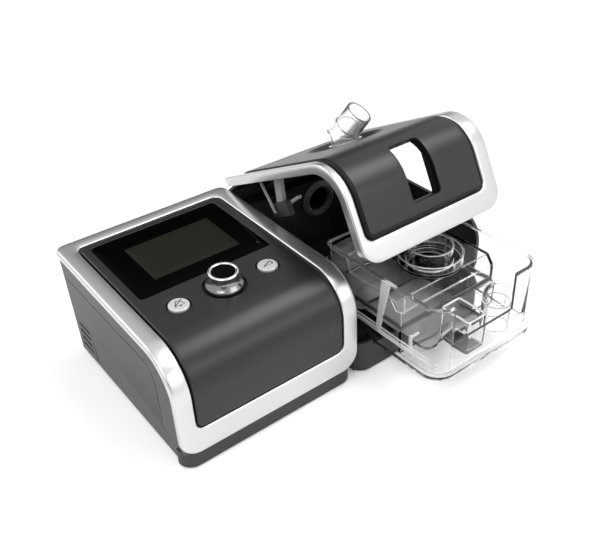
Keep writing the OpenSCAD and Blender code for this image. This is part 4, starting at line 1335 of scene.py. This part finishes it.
@dataclass(frozen=True)
class Lid:
    """Lid of the humidifier: bright U-shaped frame, dark panel with window and dish, inner parts.

    Attributes:
        line: side line of the panel, with its ridge.
        frame_line: side line of the frame, without one.
        left: width of the frame's left leg.
        right: width of its right leg.
        band: foot and top of its front band.
        corners: radii of its corners, counter-clockwise from the lower left one.
        frame_back: rear end of its legs.
        frame_t: its thickness.
        frame_round: rounding of its edge.
        rim_t: thickness of the deeper rims under its outer sides.
        rim_x: places across a rim, from its side inwards, that its foot is worked out for.
        rim_short: how far the rims end before the legs.
        groove: gap between the frame and the panel.
        proud: height of the panel's face over the line.
        skin: thickness of the panel below the line.
        lip: radius of the panel's lip.
        panel_back: rear end of the panel, less the groove.
        panel_corner: radius of its corners.
        window_x: left and right side of the window.
        window_z: its foot and top.
        window_edge: draft of the window's wall, depth of its upright part and rounding of its rim.
        outlet: place of the outlet's axis.
        outlet_r: radius of the outlet's hole.
        dish_r: radius of the dish.
        dish_floor: radius of its flat floor.
        dish_depth: its depth below the line.
        under: drop of the underside below the dish, radius where that starts, and its run.
        folds: radii of the rings that the panel's mesh follows round the dish.
    """

    line: SideLine = SideLine(ridge_y=140.0)
    frame_line: SideLine = SideLine()
    left: float = 6.3
    right: float = 13.3
    band: Pair = (16.0, 32.5)
    corners: tuple[float, ...] = (15.0, 15.0, 6.0, 0.8, 7.0, 7.0, 0.8, 2.5)
    frame_back: float = 164.0
    frame_t: float = 3.6
    frame_round: float = 1.6
    rim_t: float = 3.9
    rim_x: Quad = (0.0, 0.4, 1.3, 2.6)
    rim_short: float = 3.0
    groove: float = 1.2
    proud: float = 0.8
    skin: float = 3.6
    lip: float = 3.6
    panel_back: float = 173.0
    panel_corner: float = 6.0
    window_x: Pair = (56.5, 83.5)
    window_z: Pair = (45.0, 87.0)
    window_edge: Triple = (1.2, 1.4, 0.7)
    outlet: Pair = (76.0, 84.0)
    outlet_r: float = 13.0
    dish_r: float = 32.0
    dish_floor: float = 19.0
    dish_depth: float = 4.2
    under: Triple = (2.4, 34.0, 6.5)
    folds: tuple[float, ...] = (
        15.5, 19.0, 21.5, 24.0, 26.0, 28.0, 29.7, 31.2, 31.97, 32.05, 33.0, 34.0, 36.0,
    )

    def frame_plate(self) -> Plate:
        """U-shaped frame, open at the rear.

        Returns:
            The plate.
        """
        (low, top), end = self.band, self.frame_line.s_of_y(self.frame_back)
        a, b = UNIT_GAP + self.left, HUM_RIGHT - self.right
        corners = ((UNIT_GAP, low), (HUM_RIGHT, low), (HUM_RIGHT, end), (b, end), (b, top), (a, top),
                   (a, end), (UNIT_GAP, end))
        edge = fillet(self.frame_t, self.frame_round, 5)
        return Plate(Loop(corners, self.corners, arc=12), edge, self.frame_line, grid=2.6)

    def side_rims(self) -> list[Plate]:
        """Deeper rims under the frame's two outer sides.

        At a distance d from the side, the foot follows the frame's corner, and lies at low + r less
        the root of r squared - (r - d) squared.

        Returns:
            The left and the right rim.
        """
        end = self.frame_line.s_of_y(self.frame_back) - self.rim_short
        d, r = np.array(self.rim_x), self.corners[0]
        foot = self.band[0] + r - np.sqrt(r ** 2 - (r - d) ** 2)
        left = [(UNIT_GAP + d[-1], end), (UNIT_GAP, end), *zip(UNIT_GAP + d, foot)]
        right = [(UNIT_GAP + HUM_RIGHT - x, s) for x, s in left[::-1]]
        edge = [(0.0, -self.rim_t), (0.0, -0.05), (0.05, 0.0)]
        return [Plate(Loop(tuple(corners), (0.3,) * len(corners), arc=2), edge, self.frame_line,
                      lift=-self.frame_t, grid=30.0) for corners in (left, right)]

    def off_centre(self, x: Array, s: Array) -> Array:
        """Distance from the outlet's axis over the top."""
        return np.hypot(x - self.outlet[0], s - self.line.s_of_y(self.outlet[1]))

    def dish(self, x: Array, s: Array) -> Array:
        """Height of the round dish over the face.

        It has a flat floor and then an arc up to the rim: at a distance q from the axis, r squared
        is (q - floor) squared + (r - height over the floor) squared.

        Args:
            x: places across.
            s: lengths along the line.

        Returns:
            The height, zero outside the rim.
        """
        run, rise = self.dish_r - self.dish_floor, self.dish_depth + self.proud
        r = (run ** 2 + rise ** 2) / (2 * rise)
        q = self.off_centre(x, s)
        over = np.clip(q - self.dish_floor, 0.0, run)
        return np.where(q < self.dish_r - 1e-3, r - np.sqrt(r * r - over * over) - rise, 0.0)

    def dish_under(self, x: Array, s: Array) -> Array:
        """Height of the underside: lowered below the dish, and rising evenly to nothing around it."""
        drop, start, run = self.under
        return -drop * np.clip((start - self.off_centre(x, s)) / run, 0.0, 1.0)

    def panel_plate(self) -> Plate:
        """Dark panel with its rounded lip, the window, the dish and the outlet's hole.

        Returns:
            The plate.
        """
        across = (UNIT_GAP + self.left + self.groove, HUM_RIGHT - self.right - self.groove)
        along = (self.band[1] + self.groove, self.line.s_of_y(self.panel_back) - self.groove)
        upright = (self.line.s_of_z(self.window_z[0]), self.line.s_of_z(self.window_z[1]))
        window = rounded_box(self.window_x, upright, (3,) * 4, arc=6)
        draft, land, rim = self.window_edge
        deep = self.skin + self.proud
        x, s = self.outlet[0], self.line.s_of_y(self.outlet[1])
        holes = [
            (window, [(draft, -deep), *fillet(land, rim)]),
            (Disc(x, s, self.outlet_r), [(0.0, -deep), (0.0, -0.3), (0.3, 0.0)]),
        ]
        outer = rounded_box(across, along, (self.panel_corner,) * 4)
        # All but the top step of the lip, and the window's walls, take painted shade.
        return Plate(outer, fillet(deep, self.lip, 8), self.line, holes, lift=self.proud, grid=1.9,
                     height=self.dish, under=self.dish_under, creases=[Disc(x, s, r) for r in self.folds],
                     painted_shade_steps=8, painted_shade_holes=(0,))

    def build(self, shop: Workshop) -> None:
        """Makes every visible piece of the lid.

        Args:
            shop: the workshop.
        """
        shop.piece("lid_bright_frame", self.frame_plate().build(), "lid", SILVER, "lid_frame")
        for side, plate in zip(("left", "right"), self.side_rims()):
            shop.piece(f"lid_bright_rim_{side}", plate.build(), "lid", SILVER)
        shop.piece("lid_dark_panel", self.panel_plate().build(), "lid", CHARCOAL, "lid_panel")
        shop.eased("lid_inner", "lid", BAY_BLACK, 0.35)
        shop.eased("lid_duct", "lid", BAY_BLACK, 0.35)
        shop.coat(SEAL, "lid_seal")
        shop.eased("outlet_collar", "lid", BASE_BLACK, 0.3)
        shop.eased("lid_stay", "lid", STAY_GREY, 0.4)
        shop.eased("stay_box", "lid", BASE_BLACK, 0.4)


@dataclass(frozen=True)
class Elbow:
    """Clear swivel elbow on the lid: stub, cuff, mitred bend and hose cone.

    Attributes:
        place: place of its axis on the top.
        lift: height of the mitre over the top.
        bend: angle from the stub's axis to the cone's, in degrees.
        turn: angle that the cone points to about the stub's axis, in degrees.
        reach: length of the cone from the mitre.
        foot: foot of the stub below the mitre, with the lift.
        bore: radius of the bore.
        stub: radius of the stub.
        cuff: radius of the cuff, and its lower and upper side below the mitre.
        tube: radius of the tube at the mitre.
        cone: radius of the cone, and start and end of the step from the tube down to it.
        inner: distance of the bore's bends from the mitre.
        chamfer: size of the smallest chamfer, of which the others are multiples.
        points: points of a ring.
    """

    place: Pair = (76.0, 84.0)
    lift: float = 7.1
    bend: float = 58.0
    turn: float = -68.0
    reach: float = 24.0
    foot: float = 8.0
    bore: float = 9.4
    stub: float = 12.0
    cuff: Triple = (14.0, -9.2, -6.8)
    tube: float = 11.8
    cone: Triple = (11.0, 7.6, 8.4)
    inner: float = 6.5
    chamfer: float = 0.2
    points: int = 72

    def ring(self, r: float, z: float, share: float) -> Array:
        """One ring of the wall, in the elbow's own axes.

        A ring about an axis turned by b lies at (c cos b + z sin b, s, z cos b - c sin b), with c and s
        the circle's two parts. On the mitre, halfway, it is a circle whose height is -c tan(bend / 2).

        Args:
            r: radius.
            z: place along the axis.
            share: 0 on the stub, 0.5 on the mitre and 1 on the cone.

        Returns:
            n x 3 array.
        """
        t = np.linspace(0, 2 * math.pi, self.points, endpoint=False)
        c, s, bend = r * np.cos(t), r * np.sin(t), math.radians(self.bend)
        if share == 0.5:
            return np.column_stack([c, s, -c * math.tan(bend / 2)])
        b = bend * share
        return np.column_stack([c * math.cos(b) + z * math.sin(b), s, z * math.cos(b) - c * math.sin(b)])

    def wall(self) -> Skin:
        """Closed wall from the stub's foot over the cuff and the mitre to the rim, and back inside.

        Returns:
            The skin about the stub's axis, turned to its place.
        """
        low, end, e = -self.lift - self.foot, self.reach, self.chamfer
        (cuff, under, over), (cone, start, stop) = self.cuff, self.cone
        stub = ((self.stub - 1.5 * e, low), (self.stub, low + 2 * e), (self.stub, under), (cuff - e, under),
                (cuff, under + e), (cuff, over - e), (cuff - e, over), (self.tube, over))
        tube = ((self.tube, start), (self.tube - e, start + 2 * e), (cone + e, start + 2.5 * e), (cone, stop),
                (cone, end - 3 * e), (cone - e, end - 0.75 * e), (cone - 3 * e, end),
                (self.bore + 1.5 * e, end), (self.bore, end - 1.5 * e), (self.bore, self.inner))
        rings = [self.ring(r, z, 0.0) for r, z in stub] + [self.ring(self.tube, 0.0, 0.5)]
        rings += [self.ring(r, z, 1.0) for r, z in tube] + [self.ring(self.bore, 0.0, 0.5)]
        rings += [self.ring(self.bore, -self.inner, 0.0), self.ring(self.bore, low, 0.0)]
        skin, t = lofted(np.stack(rings), True), math.radians(self.turn)
        x, y, z = skin.points.T
        points = [x * math.cos(t) - y * math.sin(t), x * math.sin(t) + y * math.cos(t), z + self.lift]
        return Skin(np.column_stack(points), skin.faces)

    def build(self, shop: Workshop) -> None:
        """Makes the elbow."""
        shop.piece("clear_elbow", self.wall().on_top(*self.place), "elbow", HAZY, "outlet_elbow", smooth=25.0)


@dataclass(frozen=True)
class Rib:
    """Moulded rib of the tub: its left and right side, and its outline over y and z."""

    x: Pair
    outline: Profile


def upright_box(x: Pair, y: Pair, z: Pair) -> Rib:
    """Rib with four straight sides."""
    return Rib(x, ((y[0], z[0]), (y[1], z[0]), (y[1], z[1]), (y[0], z[1])))


@dataclass(frozen=True)
class Chamber:
    """Clear water chamber with its cover, seals, metal base and plug.

    Attributes:
        eases: clear nodes of the chamber, each with the width of its eased edges.
        ribs: rail, bead and tapered fin on the left wall, hooked peg on the floor, and the three
            strokes of the level mark on the wall.
        rib_ease: width of the ribs' eased edges.
    """

    eases: tuple[tuple[str, float], ...] = (
        ("chamber_tub", 0.6), ("chamber_cover", 0.55), ("port_collar", 0.45), ("chamber_pocket", 0.85),
        ("filler_tube", 0.5),
    )
    ribs: tuple[Rib, ...] = (
        upright_box((24.4, 26.6), (19.0, 137.0), (31.6, 34.4)),
        upright_box((24.4, 25.8), (19.0, 137.0), (37.4, 38.2)),
        Rib((24.4, 26.2), ((78.6, 33.0), (82.6, 33.0), (77.0, 81.0), (68.0, 81.0))),
        upright_box((29.8, 31.6), (49.4, 52.0), (26.2, 43.0)),
        upright_box((31.0, 39.0), (49.8, 51.6), (40.6, 42.6)),
        Rib((22.7, 23.6), ((51.0, 66.2), (51.9, 66.6), (51.9, 78.6), (51.0, 78.6))),
        Rib((22.7, 23.6), ((51.0, 65.6), (59.6, 63.0), (60.2, 63.8), (51.7, 66.5))),
        Rib((22.7, 23.6), ((59.4, 63.1), (65.8, 70.0), (65.2, 70.7), (59.0, 63.9))),
    )
    rib_ease: float = 0.25

    def build(self, shop: Workshop) -> None:
        """Dresses the chamber's pieces and adds the tub's ribs.

        Args:
            shop: the workshop.
        """
        # Eased edges of the clear parts and the plug take a whitened copy of the plastic, and narrow flat
        # faces a paler one: painted highlight.
        for node, width in self.eases:
            shop.eased(node, "chamber", CLEAR, width, rim=CLEAR_PAINTED_HIGHLIGHT)
        shop.eased("fill_plug", "plug", CLEAR, 0.5, rim=CLEAR_PAINTED_HIGHLIGHT)
        # The ribs are made wholly in the whitened copy: painted highlight.
        for i, rib in enumerate(self.ribs, 1):
            shop.piece(f"chamber_rib_{i}", prism(rib.outline, rib.x), "chamber", CLEAR_PAINTED_HIGHLIGHT, soft=self.rib_ease)
        shop.coat(SEAL, "chamber_gasket", "plate_seal")
        shop.coat(ALUMINIUM, "chamber_plate")


# Room


@dataclass(frozen=True)
class Lamp:
    """Soft rectangular lamp: name, place and aim in metres, width and height in metres, power in watts."""

    name: str
    at: Triple
    aim: Triple
    size: Pair
    power: float

    def build(self) -> None:
        """Hangs the lamp in its place and turns it to its aim."""
        data = bpy.data.lights.new(self.name, "AREA")
        data.shape = "RECTANGLE"
        data.size, data.size_y = self.size
        data.energy = self.power
        obj = bpy.data.objects.new(self.name, data)
        obj.location = self.at
        obj.rotation_mode = "QUATERNION"
        obj.rotation_quaternion = (Vector(self.aim) - Vector(self.at)).to_track_quat("-Z", "Y")
        bpy.context.scene.collection.objects.link(obj)


@dataclass(frozen=True)
class Card:
    """Soft round card in the world: way to it, cosines at its rim and its core, and its strength."""

    way: Triple
    rim: float
    core: float
    strength: float


@dataclass(frozen=True)
class Room:
    """Floor, lamps, world and camera.

    Attributes:
        eye: place of the camera that was fitted to the photograph, in metres.
        yaw: its turn to the right of the unit's depth.
        pitch: its turn downwards.
        roll: its turn about its own axis.
        focal_px: its focal length in pixels of the photograph.
        frame_px: width of the photograph in pixels.
        sensor: width of the camera's sensor in millimetres.
        half_floor: half the width of the floor in metres.
        floor_tones: base colour of the floor, as seen and as lit surfaces receive it.
        floor_glow: emission of the floor, except for diffuse rays.
        floor_fade: distances from the object between which the floor turns to plain white.
        lamps: the soft lamps.
        rear_card: dark card behind the object.
        rear_foot: heights between which the rear card fades in.
        front_cards: dark card at the camera and pale card to its right.
        levels: strength of the world, for reflections and for diffuse light.
    """

    eye: Triple = (-0.284202, -0.397667, 0.402080)
    yaw: float = 0.622185798
    pitch: float = 0.599123673
    roll: float = -0.0535786556
    focal_px: float = 769.837824
    frame_px: float = 600.0
    sensor: float = 36.0
    half_floor: float = 6.0
    floor_tones: Pair = (0.97, 0.6)
    floor_glow: float = 0.16
    floor_fade: Pair = (0.55, 1.6)
    lamps: tuple[Lamp, ...] = (
        Lamp("key", (-0.9, -0.5, 1.3), (0, 0, 0.05), (1.0, 1.0), 11),
        Lamp("front", (0.6, -1.5, 0.9), (0, 0, 0.05), (1.2, 0.7), 5),
        Lamp("bend", (0.68, -0.3, 1.4), (-0.06, -0.04, 0.09), (0.8, 0.8), 11),
        Lamp("rear", (-0.8, 1.1, 1.2), (0, 0.05, 0.05), (1.2, 0.6), 6),
    )
    rear_card: Card = Card((0.36, 0.905, 0.22), 0.875, 0.94, 0.95)
    rear_foot: Pair = (0.06, 0.2)
    front_cards: tuple[Card, ...] = (
        Card((-0.59, -0.8, 0.05), 0.9, 0.97, -0.8),
        Card((0.485, -0.85, 0.21), 0.8, 0.96, 0.3),
    )
    levels: Pair = (0.9, 0.5)

    def floor(self) -> None:
        """Pale floor that keeps the shadow and turns to plain white away from the object."""
        far = self.half_floor
        me = bpy.data.meshes.new("floor")
        me.from_pydata([(-far, -far, 0), (far, -far, 0), (far, far, 0), (-far, far, 0)], [], [(0, 1, 2, 3)])
        obj = Workshop.linked("floor", me)
        mat = bpy.data.materials.new("floor_pale")
        mat.use_nodes = True
        mat.node_tree.nodes.clear()
        wires = Wiring(mat.node_tree)
        diffuse = wires.add("LightPath", {}).outputs["Is Diffuse Ray"]
        seen, lit = ((tone, tone, tone, 1) for tone in self.floor_tones)
        pale = wires.add("Mix", {"Factor": diffuse, "A": seen, "B": lit}, data_type="RGBA").outputs["Result"]
        ground = wires.add("BsdfPrincipled", {
            "Base Color": pale, "Roughness": 0.9, "Specular IOR Level": 0.0, "Emission Color": (1, 1, 1, 1),
            "Emission Strength": wires.ramp(diffuse, (0.0, 1.0), (self.floor_glow, 0.0), "LINEAR"),
        })
        place = wires.add("TexCoord", {}).outputs["Object"]
        reach = wires.add("VectorMath", {0: place}, operation="LENGTH").outputs["Value"]
        fade = wires.calc("SUBTRACT", wires.ramp(reach, self.floor_fade, (0.0, 1.0)), diffuse, clamp=True)
        white = wires.add("Emission", {"Color": (1, 1, 1, 1)})
        blend = wires.add("MixShader", {0: fade, 1: ground.outputs["BSDF"], 2: white.outputs[0]})
        wires.add("OutputMaterial", {"Surface": blend.outputs[0]})
        me.materials.append(mat)

    def world(self) -> None:
        """Pale world with a dark card behind the object and cards at the camera, all white to the camera."""
        world = bpy.data.worlds.new("studio")
        bpy.context.scene.world = world
        world.use_nodes = True
        world.node_tree.nodes.clear()
        wires = Wiring(world.node_tree)
        way = wires.add("TexCoord", {}).outputs["Generated"]

        def spot(card: Card) -> bpy.types.NodeSocket:
            """Strength of a card in each direction, from the cosine of the angle to its middle.

            Args:
                card: the card.

            Returns:
                The strength's socket.
            """
            inputs = {0: way, 1: Vector(card.way).normalized()}
            cosine = wires.add("VectorMath", inputs, operation="DOT_PRODUCT").outputs["Value"]
            return wires.ramp(cosine, (card.rim, card.core), (0.0, card.strength))

        height = wires.add("SeparateXYZ", {0: way}).outputs["Z"]
        foot = wires.ramp(height, self.rear_foot, (0.0, -1.0))
        level = wires.calc("MULTIPLY_ADD", spot(self.rear_card), foot, 1.0)
        for card in self.front_cards:
            level = wires.calc("ADD", spot(card), level)
        ray = wires.add("LightPath", {}).outputs
        strength = wires.ramp(ray["Is Diffuse Ray"], (0.0, 1.0), self.levels, "LINEAR")
        lit = wires.calc("MULTIPLY", level, strength)
        shown = wires.add("Mix", {"Factor": ray["Is Camera Ray"], "A": lit, "B": 1.0}).outputs["Result"]
        glow = wires.add("Background", {"Color": (1, 1, 1, 1), "Strength": shown})
        wires.add("OutputWorld", {"Surface": glow.outputs[0]})

    def camera(self) -> None:
        """Camera of the photograph, from its fitted place, turn and focal length."""
        cy, sy, cp, sp = math.cos(self.yaw), math.sin(self.yaw), math.cos(self.pitch), math.sin(self.pitch)
        forward = Vector((sy * cp, cy * cp, -sp))
        level = Vector((cy, -sy, 0.0))
        steep = level.cross(forward)
        cr, sr = math.cos(self.roll), math.sin(self.roll)
        right, up = level * cr + steep * sr, steep * cr - level * sr
        data = bpy.data.cameras.new("camera")
        data.sensor_fit = "HORIZONTAL"
        data.sensor_width = self.sensor
        data.lens = self.focal_px * self.sensor / self.frame_px
        data.clip_start, data.clip_end = 0.01, 50.0
        obj = bpy.data.objects.new("camera", data)
        obj.matrix_world = Matrix.Translation(self.eye) @ Matrix((right, up, -forward)).transposed().to_4x4()
        bpy.context.scene.collection.objects.link(obj)
        bpy.context.scene.camera = obj

    def build(self) -> None:
        """Makes the room."""
        self.camera()
        self.floor()
        for lamp in self.lamps:
            lamp.build()
        self.world()
        bpy.context.scene.view_settings.view_transform = "Standard"


def main() -> None:
    """Builds the sub-assemblies in order."""
    logging.basicConfig(level=logging.INFO, format="%(name)s: %(message)s")
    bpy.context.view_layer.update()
    Room().build()
    shop = Workshop(Finishes(surface_wander()))
    for part in (MainUnit(), Humidifier(), Lid(), Elbow(), Chamber()):
        part.build(shop)
    log.info("%d pieces made", shop.count)


if __name__ == "__main__":
    main()
